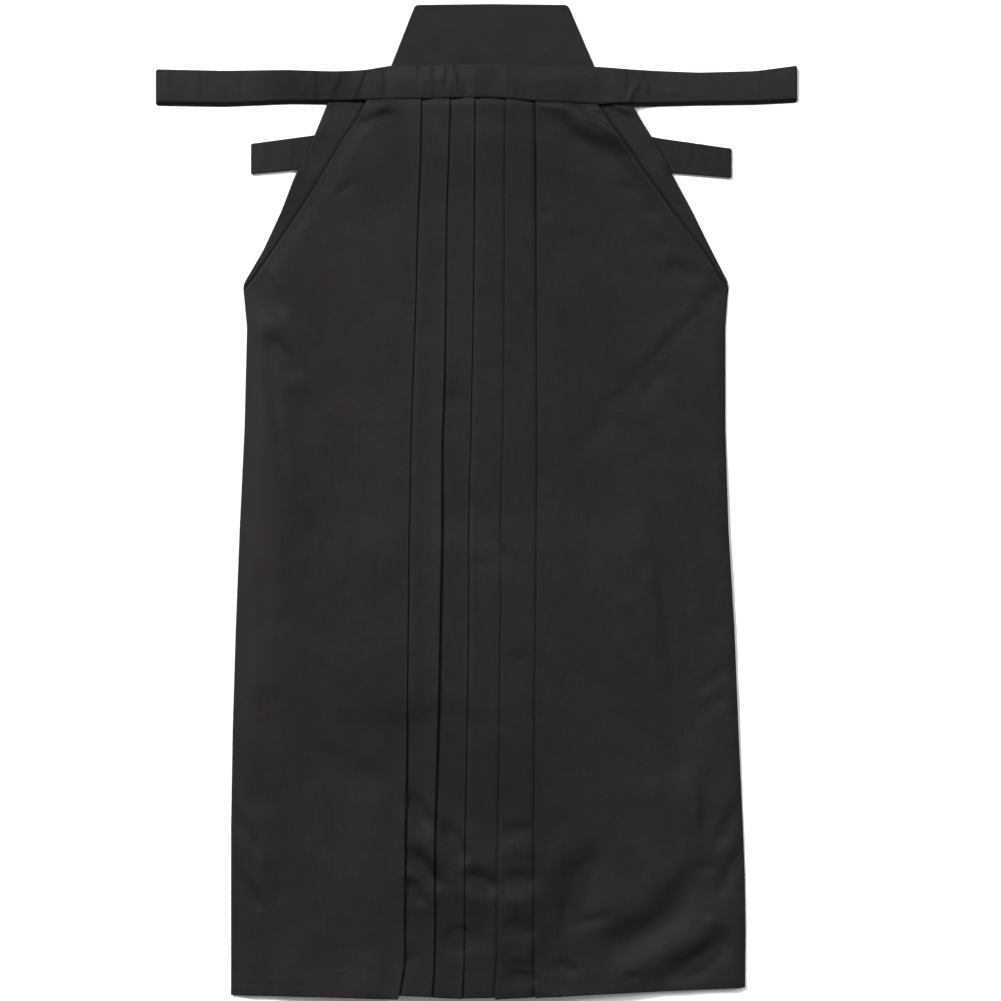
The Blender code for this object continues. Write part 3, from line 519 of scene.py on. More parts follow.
# Pieces, in the order in which they lie: name, node, flat size in metres, area in square metres where
# it isn't the flat size's, how the sheet is held, what it rests on, and its stitches.
PIECES = (
    ("back_ties", "back_ties", (0.035, 0.70), None, "folded", "floor", TIE_STITCH),
    ("back_board", "back_board", (0.28, 0.142), 0.0315, "laid", "back_ties", None),
    ("back_left", "back_panel_left", (0.44, 0.97), 0.351, "laid", "floor", HEM_STITCH),
    ("back_right", "back_panel_right", (0.40, 0.97), 0.310, "laid", "floor", HEM_STITCH),
    ("gusset_left", "gusset_left", (0.06, 0.47), 0.0212, "laid", "back_left", None),
    ("gusset_right", "gusset_right", (0.06, 0.47), 0.0232, "laid", "back_right", None),
    ("front_right", "front_panel_right", (0.42, 0.97), 0.376, "folded", "back_right", HEM_STITCH),
    ("front_left", "front_panel_left", (0.42, 0.97), 0.345, "folded", "back_left", HEM_STITCH),
    ("waistband", "waistband", (0.07, 1.06), 0.0735, "folded", "front_left", BAND_STITCH),
)

# Studio.
LENS = 120.0
SENSOR = 36.0
VIEW_WIDTH = 1.0611
VIEW_CENTRE = (25.4 * MM, 0.2 * MM)
CLOTH_LEVEL = 10.0 * MM    # height of the cloth that the view's width is measured at
FLOOR_SIZE = 14.0
FLOOR_LEVEL = -0.3 * MM
WORLD_STRENGTH = 0.34
LIGHTS = (                 # name, place, width and power; each looks at the origin
    ("left_light", (-4.9, 5.8, 6.8), 2.2, 1640.0),
    ("right_light", (5.4, 3.4, 7.0), 2.6, 420.0),
)


# Numbers.


def share(a, b, s):
    return a + (b - a) * s


def smooth_step(s):
    """Zero below 0, one above 1, and 3 s squared minus 2 s cubed between."""
    s = np.clip(s, 0.0, 1.0)
    return s * s * (3.0 - 2.0 * s)


def soft_floor(value, softness):
    """Close to the value where it is positive and to zero where it isn't: half of it plus its root
    with the softness squared."""
    return (value + np.sqrt(value ** 2 + softness ** 2) - softness) / 2


def bell(distance, width):
    """exp(-q squared), q being the distance in widths."""
    return np.exp(-(distance / width) ** 2)


def rounded(s):
    """How far a round edge lies back, in its radii, at s radii from its end: 1 less the root of
    1 - (1 - s) squared."""
    return 1 - np.sqrt(1 - (1 - np.clip(s, 0.0, 1.0)) ** 2)


def soft_noise(x, y, cell, seed):
    """Smooth noise between -1 and 1: random values on a square lattice, blended by smooth steps."""
    values = np.random.default_rng(seed).uniform(-1.0, 1.0, (64, 64))
    u, v = x / cell + 31.3, y / cell + 31.7
    i, j = np.floor(u).astype(int), np.floor(v).astype(int)
    s, t = smooth_step(u - i), smooth_step(v - j)
    i, j = i % 63, j % 63
    low = share(values[i, j], values[i + 1, j], s)
    high = share(values[i, j + 1], values[i + 1, j + 1], s)
    return share(low, high, t)


def from_table(table, column, at, softness=0.0):
    """A table's column at these places, straight between its rows, averaged over the softness."""
    offsets = np.linspace(-softness, softness, 7 if softness else 1)
    return np.mean([np.interp(at + d, table[:, 0], table[:, column]) for d in offsets], axis=0)


def unit(vectors):
    return vectors / np.linalg.norm(vectors, axis=-1)[..., None]


# Creases.


def smooth_path(p):
    """A curve through the points: each piece is the Catmull-Rom cubic between two."""
    p = np.vstack([2 * p[0] - p[1], p, 2 * p[-1] - p[-2]])
    s = np.arange(PATH_STEPS)[:, None] / PATH_STEPS
    pieces = [(2 * b + (c - a) * s + (2 * a - 5 * b + 4 * c - d) * s ** 2
               + (3 * b - a - 3 * c + d) * s ** 3) / 2 for a, b, c, d in zip(p, p[1:], p[2:], p[3:])]
    return np.vstack(pieces + [p[-2:-1]])


def beside_path(x, y, path):
    """For every place, its share of the way along the path and its distance to it, which is positive
    on the left: the nearest of the path's straight pieces counts."""
    lengths = np.hypot(*np.diff(path, axis=0).T)
    starts = np.concatenate([[0.0], np.cumsum(lengths)])
    nearest = np.full(x.shape, np.inf)
    along, aside = np.zeros_like(x), np.zeros_like(x)
    for (ax, ay), (bx, by), length, start in zip(path, path[1:], lengths, starts):
        ux, uy = (bx - ax) / length, (by - ay) / length
        t = np.clip((x - ax) * ux + (y - ay) * uy, 0.0, length)
        dx, dy = x - ax - t * ux, y - ay - t * uy
        distance = np.hypot(dx, dy)
        closer = distance < nearest
        nearest = np.where(closer, distance, nearest)
        along = np.where(closer, start + t, along)
        aside = np.where(closer, np.copysign(distance, ux * dy - uy * dx), aside)
    return along / starts[-1], aside


def creased(x, y, *tables):
    """Sum of the creases' heights.  Across a crease, at q widths from its line, the height goes as
    (1 - shoulder q squared) exp(-q squared); along it, it grows and dies away by smooth steps and is
    a little uneven."""
    total = np.zeros_like(x)
    for height, left, right, *points in [row for table in tables for row in table]:
        along, aside = beside_path(x, y, smooth_path(np.reshape(points, (-1, 2))))
        q = aside / np.where(aside > 0, left, right)
        ends = smooth_step(along / CREASE_FADE) * smooth_step((1 - along) / CREASE_FADE)
        total += height * ends * (1 - CREASE_SHOULDER * q ** 2) * np.exp(-q ** 2)
    return total * (1.0 + CREASE_UNEVEN * soft_noise(x, y, CREASE_CELL, 5))


# Meshes.


def new_piece(name, points, quads, uv=None):
    """An object from points and quads, all facing out; uv gives each point's place in the cloth."""
    a, b, c, d = (points[quads[:, k]] for k in range(4))
    if (a * (np.cross(b, c) + np.cross(c, d))).sum() < 0:
        quads = quads[:, ::-1]
    mesh = bpy.data.meshes.new(name)
    mesh.vertices.add(len(points))
    mesh.vertices.foreach_set("co", points.astype(np.float32).ravel())
    mesh.loops.add(quads.size)
    mesh.loops.foreach_set("vertex_index", quads.astype(np.int32).ravel())
    mesh.polygons.add(len(quads))
    mesh.polygons.foreach_set("loop_start", np.arange(0, quads.size, 4, dtype=np.int32))
    if uv is not None:
        layer = mesh.uv_layers.new(name="cloth")
        layer.data.foreach_set("uv", uv[quads.ravel()].astype(np.float32).ravel())
    mesh.update(calc_edges=True)
    mesh.shade_smooth()
    return placed_in_scene(name, mesh)


def placed_in_scene(name, data):
    obj = bpy.data.objects.new(name, data)
    bpy.context.collection.objects.link(obj)
    return obj


def grid_quads(k):
    """Quads between neighbouring points of a grid, from their numbers."""
    return np.stack([k[:-1, :-1], k[1:, :-1], k[1:, 1:], k[:-1, 1:]], axis=-1).reshape(-1, 4)


def border(k):
    """The numbers all round a grid."""
    return np.concatenate([k[0, :-1], k[:-1, -1], k[-1, :0:-1], k[:0:-1, 0]])


def walled(name, one, other, uv):
    """A closed wall of cloth between two grids of points, with a rounded rim all round.

    The rim's middle line stands out from the border, away from the border's neighbours inside.
    """
    number = np.arange(one[..., 0].size).reshape(one.shape[:2])
    rim, inside = border(number), border(np.pad(number[1:-1, 1:-1], 1, "edge"))
    a, b, flat = one.reshape(-1, 3), other.reshape(-1, 3), uv.reshape(-1, 2)
    middle = (a + b) / 2
    half = np.linalg.norm(a[rim] - b[rim], axis=1)[:, None] / 2
    ring = middle[rim] + unit(middle[rim] - middle[inside]) * half * RIM_ROUND
    level = 2 * number.size + np.arange(len(rim))
    quads = [grid_quads(number), grid_quads(number + number.size)[:, ::-1]]
    for first, second in ((rim, level), (level, rim + number.size)):
        quads.append(np.stack([first, np.roll(first, -1), np.roll(second, -1), second], axis=1))
    return new_piece(name, np.concatenate([a, b, ring]), np.concatenate(quads),
                     np.concatenate([flat, flat, flat[rim]]))


# Layers.


def settle(z, fall, *spacings):
    """Raises heights, where needed, until none falls steeper than fall from its neighbours.

    spacings holds the distances between neighbours along the rows and, if given, along the columns.
    """
    z = z.copy()
    ways = [(side, fall * np.abs(spacing)) for side, spacing in zip((z, z.T), spacings)]
    for _ in range(max(z.shape)):
        before = z.copy()
        for side, drop in ways:
            side[..., 1:] = np.maximum(side[..., 1:], side[..., :-1] - drop)
            side[..., :-1] = np.maximum(side[..., :-1], side[..., 1:] - drop)
        if np.array_equal(z, before):
            break
    return z


def evened(z, floor, times):
    """Heights averaged with their neighbours, and never below the floor."""
    for _ in range(times):
        for side in (z.T, z) if z.ndim > 1 else (z,):
            side[..., 1:-1] = (side[..., :-2] + 2 * side[..., 1:-1] + side[..., 2:]) / 4
        z = np.maximum(z, floor)
    return z


def stitched_dip(distance, width=STITCH_REACH):
    """How far a line of stitches draws the cloth in beside it."""
    return STITCH_DIP * bell(distance, width)


def y_and_half(line, x, softness=0.0):
    """y and half width of a strip along a table's line at these places."""
    return [from_table(line, column, x, softness) for column in (1, 2)]


class Ground:
    """A grid of places across the garment, and the top of what lies there so far."""

    def __init__(self):
        lines = {name: from_table(EDGES, column, DROPS, EDGE_SOFTNESS) for column, name in enumerate(
            ("outer_left", "left", "right", "outer_right"), start=1)}
        for k in range(PLEATS.shape[1] - 1):
            lines[f"pleat_{k}"] = from_table(PLEATS, k + 1, DROPS, PLEAT_SOFTNESS)
        lines["turn_0"] = lines["pleat_0"] - OUTER_PLEAT_DEPTH
        lines["turn_4"] = lines["pleat_4"] + OUTER_PLEAT_DEPTH
        lines["centre"] = share(*CENTRE_BACK, DROPS / FRONT_LENGTH)
        self.place, columns = {}, []
        for (name, shares), (following, _) in zip(KNOTS, KNOTS[1:] + KNOTS[-1:]):
            self.place[name] = len(columns)
            columns += [share(lines[name], lines[following], s) for s in shares]
        for k in (0, 1, 3):
            for fold, cells in HIDDEN_FOLDS:
                self.place[f"{fold}_{k}"] = self.place[f"pleat_{k}"] + cells
        self.x = np.stack(columns, axis=1)
        self.y = WAIST_Y - DROPS[:, None] + 0.0 * self.x
        self.top = np.full_like(self.x, -GAP)

    def line(self, name):
        """x of a named line, as a column."""
        return self.x[:, self.place[name], None]

    def raise_to(self, inside, height):
        """The ground clears a thing that covers the places inside, with its top at this height."""
        self.top = np.where(inside, np.maximum(self.top, height), self.top)

    def clear_strip(self, line, first, last, margin, height, lower=0.0):
        """The ground clears a strip that lies along a line from one x to another."""
        y, half = y_and_half(line, self.x)
        beside = (self.x > first) & (self.x < last)
        self.raise_to(beside & (np.abs(self.y - y + lower) < half + margin), height)


class Layer:
    """A run of cloth that rests on the ground, which it then covers: its middle heights and its
    thickness, with its columns in the order of the run."""

    def __init__(self, ground, run, first_row=0):
        start, end = (ground.place[name] for name in run[:2])
        self.step = 1 if start < end else -1
        self.columns = np.arange(start, end + self.step, self.step)
        here = (slice(first_row, None), self.columns)
        self.x = ground.x[here]
        self.hems = share(*run[2:], np.linspace(0.0, 1.0, len(self.columns))) * MM
        # One wall, thicker in the turned-up hem, with a dip along its line of stitches.
        into_hem = DROPS[first_row:, None] - self.hems + HEM_DEEP
        self.thick = WALL + HEM_THICKER * smooth_step(into_hem / HEM_STEP) - stitched_dip(
            into_hem, 0.8 * HEM_STEP)
        floor = ground.top[here] + GAP + self.thick / 2
        z = settle(floor, SLOPE, np.diff(self.x, axis=1), np.diff(ground.y[here], axis=0).T)
        self.z = evened(z, floor, EVENING)
        ground.top[here] = self.z + self.thick / 2

    def rise(self, lift):
        self.z = self.z + lift[-len(self.z):, self.columns]


# Leg panels.


def pulled_in(layer, start, end):
    """A layer's x and z with its first and last columns drawn in by these lengths."""
    x, z = layer.x.copy(), layer.z.copy()
    for column, neighbour, way, shift in ((0, 1, 1, start), (-1, -2, -1, end)):
        width = np.abs(x[:, neighbour] - x[:, column])
        z[:, column] += (z[:, neighbour] - z[:, column]) * shift / width
        x[:, column] += layer.step * way * shift
    return x, z


def cut_at_hem(drops, hem, x, z):
    """The points of a column, with the rows below FINE_FROM drawn to the hem."""
    drawn = (hem - FINE_FROM) / (LOWEST_DROP - FINE_FROM)
    scaled = np.where(drops > FINE_FROM, FINE_FROM + (drops - FINE_FROM) * drawn, drops)
    return np.stack([np.interp(scaled, drops, x), WAIST_Y - scaled, np.interp(scaled, drops, z)], axis=1)


def folded_panel(name, layers, under_first=1, inset=0.0):
    """A wall of cloth that goes to and fro through its layers, with a round fold at each turn.

    A fold is half an ellipse: its outer face goes through the edge's line, and its inner face lies a
    wall inside it.  under_first is -1 where the first layer's outer face is its lower one.
    """
    last = len(layers) - 1
    runs = [pulled_in(layer, TURN + inset * (n == 1) if n else GAP / 2,
                      TURN + inset * (n == 0) if n < last else GAP / 2) for n, layer in enumerate(layers)]
    faces, lengths = ([], []), [runs[0][0][:, 0]]

    def add(length, hem, *places):
        for face, (x, z) in zip(faces, places):
            face.append(cut_at_hem(DROPS, hem, x, z))
        lengths.append(layers[0].step * length + 0 * DROPS)

    for n, (layer, (x, z)) in enumerate(zip(layers, runs)):
        wall = under_first * (-1) ** n * layer.thick / 2
        for k, hem in enumerate(layer.hems):
            add(np.abs(x[:, k] - x[:, max(k - 1, 0)]), hem,
                (x[:, k], z[:, k] + wall[:, k]), (x[:, k], z[:, k] - wall[:, k]))
        if n == last:
            break
        edge = layer.x[:, -1] - layer.step * inset * (n == 0)
        below = runs[n + 1][1][:, 0]
        middle, half = (z[:, -1] + below) / 2, (z[:, -1] - below) / 2
        wall = np.sign(half) * layer.thick[:, -1] / 2
        for k, angle in enumerate(np.radians(NOSE_DEGREES), start=1):
            hem = share(layer.hems[-1], layers[n + 1].hems[0], k / (len(NOSE_DEGREES) + 1))
            out = edge - layer.step * TURN * (1 - np.cos(angle))
            outer = (out, middle + (half + wall) * np.sin(angle))
            inner = (out - layer.step * WALL * np.cos(angle), middle + (half - wall) * np.sin(angle))
            add(TURN / 4, hem, *((inner, outer) if n % 2 else (outer, inner)))
    one, other = (np.stack(face, 1) for face in faces)
    along = np.cumsum(np.stack(lengths, 1), axis=1)[:, 1:]
    return walled(name, one, other, np.stack([along, one[..., 1]], axis=-1))


def gusset(name, ground, layer, lines):
    """A tapered piece between the inner edges of one leg's front and back, from crotch to hem."""
    drops = DROPS[-len(layer.z):]
    left_top, left_hem, right_top, right_hem = (ground.line(line)[-len(drops):] for line in lines)
    spread = share(GUSSET_AT_CROTCH, 1.0, (drops - CROTCH_DROP) / (FRONT_LENGTH - CROTCH_DROP))[:, None]
    left = share(left_top, left_hem, spread) + GAP / 2
    right = share(right_top, right_hem, spread) - GAP / 2
    x = share(left, right, np.linspace(0.0, 1.0, GUSSET_CELLS + 1))
    z = np.array([np.interp(*row) for row in zip(x, layer.x, layer.z)]) + WALL / 2
    upper = np.stack([cut_at_hem(drops, GUSSET_HEM_DROP, *column) for column in zip(x.T, z.T)], 1)
    return walled(name, upper, upper - (0.0, 0.0, WALL), upper[..., :2])


def band_edge(x):
    """Drop of the waistband's lower edge."""
    y, half = y_and_half(BAND_LINE, x, BAND_SOFTNESS)
    return WAIST_Y - y + half


def below_band(x, drop):
    return smooth_step((drop - band_edge(x)) / WAIST_RISE)


def above_slit_end(drop, lead, length):
    """1 above the end of the side slits, 0 below it: falls over the length, from the lead before it."""
    return 1 - smooth_step((drop - SLIT_DROP + lead) / length)


def lifts(ground):
    """How far the folds underneath lift everything, how far the back's outer cloth stands up, and how
    far the front does."""
    x, y, drop = ground.x, ground.y, WAIST_Y - ground.y
    left, right = ground.line("left"), ground.line("right")
    under = soft_floor(creased(x, y, UNDER_FOLDS), 0.1 * MM)
    under = under * smooth_step((drop - UNDER_BELOW[0]) / UNDER_BELOW[1])
    from_left, from_right = (x - left) / EDGE_CALM[0], (right - x) / EDGE_CALM[1]
    above = above_slit_end(drop, 20 * MM, 24 * MM)
    rolled = share(SLIT_ROLL[0], 1.0, smooth_step((right - x) / SLIT_ROLL[1]))
    sides = smooth_step(from_left + 0.08) * np.maximum(smooth_step(from_right + 0.08), above * rolled)
    stand = from_table(SLIT_STAND, 1, drop) * (1 - smooth_step(from_left))
    stand += from_table(SLIT_STAND, 2, drop) * (1 - smooth_step(from_right / SLIT_CURL)) * rolled
    puff = PUFF + sum(height * soft_noise(x, y, cell, seed) for height, cell, seed in PUFF_NOISES)
    folds = creased(x, y, FRONT_CREASES, FRONT_SWELLS, HEM_RIPPLES)
    raised = (puff * sides + folds * share(EDGE_LOOSE, 1.0, sides)) * below_band(x, drop)
    front = under + soft_floor(raised - under, 0.4 * MM) + stand * above * below_band(x, drop)
    beside = smooth_step(np.maximum(left - x, x - right) / FACING_FALL)
    facing = soft_floor((FACING_PUFF + creased(x, y, BACK_CREASES)) * beside, 0.1 * MM)
    return under, under + facing * smooth_step((drop + 3 * MM) / (12 * MM)), front


def open_edges(ground, layers, pleats, lift):
    """Lifts the folded edges of the pleats a little more, each with the two layers that meet in it,
    and lets the strip beside it stand up or dip, where there is room.

    All of these fall off from their lines as exp(-q squared), q being the distance in their widths.
    """
    for k, upper, strip in pleats:
        edge = ground.line(f"pleat_{k}")
        calm = below_band(edge, DROPS[:, None])
        height = from_table(OPENINGS, k + 1, DROPS, 30 * MM)[:, None] * calm
        for layer in layers[upper: upper + 2] if upper is not None else ():
            layer.z = layer.z + height * bell(layer.x - edge, OPENING_WIDTH)
        if strip is not None:
            layer = layers[strip]
            amount = from_table(BESIDE, k + 1, DROPS, 20 * MM)[:, None] * calm
            past = layer.x - edge - RISE_AT
            rise = amount * bell(past, np.where(past < 0, *RISE_WIDTHS))
            dip = amount * bell(layer.x - edge, DIP_WIDTH)
            room = DIP_MOST * lift[:, layer.columns]
            layer.z = layer.z + np.where(amount > 0, rise, np.maximum(dip, -room))


def thicken_slit(layer, edge):
    """The turned-in hem along a panel's slit edge."""
    width, extra = SLIT_HEM
    above = above_slit_end(DROPS[:, None], 6 * MM, 12 * MM)
    layer.thick = layer.thick + extra * smooth_step((width - np.abs(layer.x - edge)) / HEM_STEP) * above


# Strips.


def stations(line, x, z, apart=0.0, degrees=90.0, lowered=0.0, softness=0.0, at=None):
    """Stations of a strip as rows: x, y, z, half width, distance between its two halves, and the
    angle of its upper face's normal in the x-z plane.  y and half width are the line's at x, or at
    the place that is given."""
    y, half = y_and_half(line, x if at is None else at, softness)
    return np.stack(np.broadcast_arrays(x, y - lowered, z, half, apart, degrees), axis=1)


def turned_back(line, end, top, x, z, reach, softness, lowered=0.0, apart=0.0):
    """Stations of a strip's end, from the height top around the half circle where it turns back under
    itself, and on along x at the height z."""
    degrees = np.linspace(90.0, 270.0, 15)[1:-1]
    angle, radius = np.radians(degrees), (top - z[0]) / 2
    turn = stations(line, end - np.sign(end) * (reach + radius * np.cos(angle)),
                    (top + z[0]) / 2 + radius * np.sin(angle), apart, 180 - degrees if end > 0 else degrees,
                    lowered * np.linspace(0.0, 1.0, len(angle)), at=end)
    return np.concatenate([turn, stations(line, x, z, apart, -90.0, lowered, softness)])


def whole_strip(main, ends):
    """The stations of a strip with its turned-back ends, and 1 for those of the part that shows."""
    shown = np.repeat([0.0, 1.0, 0.0], [len(ends[0]), len(main), len(ends[1])])
    return np.concatenate([ends[0][::-1], main, ends[1]]), shown[:, None]


def places_on(strip, across):
    """x and y of points at these distances across a strip."""
    return strip[:, 0, None] + 0 * across, strip[:, 1, None] + across


def placed(strip, across, offset):
    """Points at these distances across a strip and along its upper face's normal."""
    x, y, z, _, _, degrees = strip.T[..., None]
    x, z = x + offset * np.cos(np.radians(degrees)), z + offset * np.sin(np.radians(degrees))
    return np.stack(np.broadcast_arrays(x, y + across, z), axis=-1)


def in_cloth(strip, across):
    """Places in the cloth of points at these distances across a strip."""
    steps = np.hypot(np.diff(strip[:, 0]), np.diff(strip[:, 2]))
    along = np.concatenate([[0.0], np.cumsum(steps)])
    return np.stack(np.broadcast_arrays(along[:, None], across), axis=-1)


def folded_strip(name, strip, dips, tuck):
    """A strip folded lengthwise: upper half, round fold at the top, lower half.

    dips is added along the upper half's normal.  tuck says how far the upper half comes down towards
    the lower one at the fold.
    """
    half, apart = strip[:, 3, None], strip[:, 4, None] / 2
    s = np.linspace(0.0, 1.0, BAND_CELLS + 1)
    nose = np.radians(NOSE_DEGREES)
    above = share(-half, half - TURN, s)
    below = share(half - TURN, BAND_BACK_SHORTER - half, s)
    around = half - TURN * (1 - np.cos(nose))
    upper = apart + dips - tuck * smooth_step((s - TUCK_FROM) / (1 - TUCK_FROM))
    middle, arch = (upper[:, -1:] - apart) / 2, (upper[:, -1:] + apart) / 2
    faces = []
    for t, inside in ((WALL / 2, 0.0), (-WALL / 2, WALL)):
        across = np.concatenate([above, around - inside * np.cos(nose), below], axis=1)
        offset = [upper + t, middle + (arch + t) * np.sin(nose), -apart - t + 0 * below]
        faces.append(placed(strip, across, np.concatenate(offset, axis=1)))
    flat = np.concatenate([above, 2 * half - around, 2 * half - below], axis=1)
    return walled(name, *faces, in_cloth(strip, flat))


# Seams: lines of points on the cloth, with the normals there.


def hem_seam(ground, layer, line, following, up):
    """The line above a run's hem, from one named line to another."""
    start, end = (ground.line(name)[HEM_SEAM_ROW] for name in (line, following))
    drop = layer.hems - HEM_DEEP
    face = layer.z + up * layer.thick / 2
    x, z = (np.array([np.interp(d, DROPS, column) for d, column in zip(drop, grid.T)])
            for grid in (layer.x, face))
    points = np.stack([x, WAIST_Y - drop, z], axis=1)[(x > start + 2 * MM) & (x < end - 2 * MM)]
    return points[np.argsort(points[:, 0])], up * UPWARDS


def slit_seam(ground, layer, line, inset):
    """The line beside a panel's slit edge, at this distance to its right."""
    kept = np.flatnonzero((DROPS > 9 * MM) & (DROPS < SLIT_DROP - 6 * MM))
    x = ground.line(line)[kept, 0] + inset
    order = np.argsort(layer.x[0])
    face = layer.z + layer.thick / 2
    z = [np.interp(a, layer.x[row, order], face[row, order]) for a, row in zip(x, kept)]
    return np.stack([x, WAIST_Y - DROPS[kept], z], axis=1), UPWARDS


def strip_seam(strip, across, offset):
    """The line along a strip, at a distance across it and along its upper face's normal."""
    angle = np.radians(strip[:, 5])
    normals = np.stack([np.cos(angle), 0 * angle, np.sin(angle)], axis=1)
    return placed(strip, across[:, None], np.reshape(offset, (-1, 1)))[:, 0], normals


class Waistband:
    """The waistband and front ties, worked out from the surface up, around the panels it holds."""

    def __init__(self):
        self.low = (PITCH + WALL) / 2
        self.reach = TURN + PITCH
        inner = TIE_REACH - self.reach
        self.x = np.linspace(-inner, inner, round(2 * TIE_REACH / BAND_STEP) + 1)

    def return_x(self, inner_end):
        start = np.sign(inner_end) * (TIE_REACH - self.reach)
        return np.linspace(start, inner_end, int(abs(start - inner_end) / BAND_STEP))

    def ground_top(self, ground):
        """The ground's top along the band: the highest of the rows that it covers."""
        edge = band_edge(self.x) + 0.5 * MM
        tops = [
            np.where(DROPS[row] < edge, np.interp(self.x, ground.x[row], ground.top[row], 0.0, 0.0), 0.0)
            for row in np.flatnonzero(DROPS < 6 * MM)]
        return np.max(tops, axis=0)

    def over(self, floor, x):
        order = np.argsort(x)
        z = evened(settle(floor[order], BAND_FALL, np.diff(x[order])), floor[order], BAND_EVENING)
        return z[np.argsort(order)]

    def lay_left_return(self, ground):
        x = self.return_x(LEFT_RETURN_END)
        self.returns = [(x, np.full(len(x), self.low))]
        ground.clear_strip(BAND_LINE, -1.0, LEFT_RETURN_END + 2 * MM, 2 * MM, 2 * self.low, RETURN_LOWER)

    def lay_back(self, ground):
        """The right tie's folded-back part, over the back panel's corner, then the hidden half."""
        top = self.ground_top(ground)
        clear = np.where(top > 0, top + GAP, 0.0)
        x = self.return_x(RIGHT_RETURN_END)
        z = self.over(np.interp(x, self.x, clear) + self.low, x)
        self.returns.append((x, z))
        for here, level in (
                (self.x > RIGHT_RETURN_END - 4 * MM, np.interp(self.x, x[::-1], z[::-1]) + self.low),
                (self.x < LEFT_RETURN_END + 4 * MM, 2 * self.low)):
            clear = np.where(here, np.maximum(clear, level + GAP), clear)
        self.back = self.over(clear + WALL / 2, self.x)
        covered = np.interp(ground.x, self.x, self.back) + WALL / 2
        ground.raise_to(DROPS[:, None] + 0 * ground.x < 8 * MM, covered)

    def finish(self, ground):
        """The half that shows, over the tops of the front panels, and the whole strip."""
        top = np.maximum(self.ground_top(ground), self.back + WALL / 2)
        front = self.over(top + GAP + WALL / 2, self.x)
        apart = np.where(np.abs(self.x) > TIE_REACH / 2, PITCH, front - self.back)
        apart = evened(apart, apart, EVENING)
        main = stations(BAND_LINE, self.x, self.back + apart / 2, apart, softness=BAND_SOFTNESS)
        strip, shown = whole_strip(main, [
            turned_back(BAND_LINE, np.sign(x[0]) * TIE_REACH, near[2], x, z, self.reach, BAND_SOFTNESS,
                        RETURN_LOWER, PITCH) for (x, z), near in zip(self.returns, (main[0], main[-1]))])
        s = np.linspace(0.0, 1.0, BAND_CELLS + 1)
        half, apart = strip[:, 3, None], strip[:, 4, None]
        across = share(-half, half - TURN, s)
        here = places_on(strip, across)
        dips = creased(*here, BAND_CREASES) + BAND_CROWN * 4 * s * (1 - s)
        dips += BAND_NOISE * soft_noise(*here, BAND_NOISE_CELL, 8)
        room = BAND_DIP_MOST * (apart - WALL)
        dips = np.maximum(dips - stitched_dip(across + half - EDGE_INSET), -room) * shown
        tuck = shown * np.maximum(apart - 2 * PITCH, 0.0) * BAND_TUCK
        face = main[:, 4, None] / 2 + dips[shown[:, 0] > 0] + WALL / 2
        seams = [strip_seam(main, EDGE_INSET - main[:, 3], face[:, 1])]
        for x, y, length, degrees in TACK:
            half = length / 2 * MM * np.array([np.cos(np.radians(degrees)), np.sin(np.radians(degrees))])
            ends = np.array([(x, y)] * 2) * MM + [-half, half]
            level = np.interp(ends[:, 0], main[:, 0], main[:, 2] + face[:, BAND_CELLS // 2]) + TACK_LIFT
            seams.append((np.column_stack([ends, level]), UPWARDS))
        return folded_strip("waistband_cloth", strip, dips, tuck), seams


def back_ties(ground):
    """One flat strip across the back, folded back under itself at both ends.  Lies lowest."""
    first, last = BACK_TIE_LINE[0, 0], BACK_TIE_LINE[-1, 0]
    low, reach = TIE_WALL / 2, TIE_WALL + GAP
    x = np.linspace(first + reach, last - reach, int((last - first) / TIE_STEP))
    doubled = (x < first + BACK_RETURN + 9 * MM) | (x > last - BACK_RETURN - 9 * MM)
    floor = np.where(doubled, reach, 0.0)
    z = evened(settle(floor, SLOPE, np.diff(x)), floor, EVENING) + low
    main = stations(BACK_TIE_LINE, x, z, softness=TIE_SOFTNESS)
    ends = []
    for end in (first, last):
        way = np.sign(end)
        under_x = np.linspace(end - way * reach, end - way * BACK_RETURN, int(BACK_RETURN / TIE_STEP))
        ends.append(turned_back(BACK_TIE_LINE, end, z[0], under_x, low + 0 * under_x, reach, TIE_SOFTNESS))
    strip, shown = whole_strip(main, ends)
    u = np.concatenate([[-1.0, -0.985, -0.955], np.linspace(-0.9, 0.9, 13), [0.955, 0.985, 1.0]])
    across, to_edge = strip[:, 3, None] * u, strip[:, 3, None] * (1 - np.abs(u))
    thick = low * np.maximum(1 - rounded(to_edge / low), TIE_EDGE)
    dips = creased(*places_on(strip, across), TIE_CREASES) - stitched_dip(to_edge - EDGE_INSET)
    one = placed(strip, across, thick + np.maximum(dips, -TIE_WALL / 3) * shown)
    cloth = walled("back_ties_cloth", one, placed(strip, across, -thick), in_cloth(strip, across))
    seams = [strip_seam(part, side * (part[:, 3] - EDGE_INSET), low - STITCH_DIP)
             for part in (main[:BACK_TIE_SEAM], main[-BACK_TIE_SEAM:]) for side in (-1, 1)]
    top = np.interp(ground.x, x, z) + low
    ground.clear_strip(BACK_TIE_LINE, first - 4 * MM, last + 4 * MM, 3 * MM, top)
    return cloth, seams


def board_underside(y):
    """The board leans on the ties under its foot and on the surface under its top edge."""
    tie_top = BACK_TIE_LINE[:, 1].max() + BACK_TIE_LINE[:, 2].max()
    return (TIE_WALL + GAP) * (HALF_LENGTH - y) / (HALF_LENGTH - tie_top)


def close_at_ends(count, power=1.6):
    """Shares from 0 to 1 that stand closer together near both."""
    s = np.linspace(-1.0, 1.0, count + 1)
    return (1 + np.sign(s) * (1 - (1 - np.abs(s)) ** power)) / 2


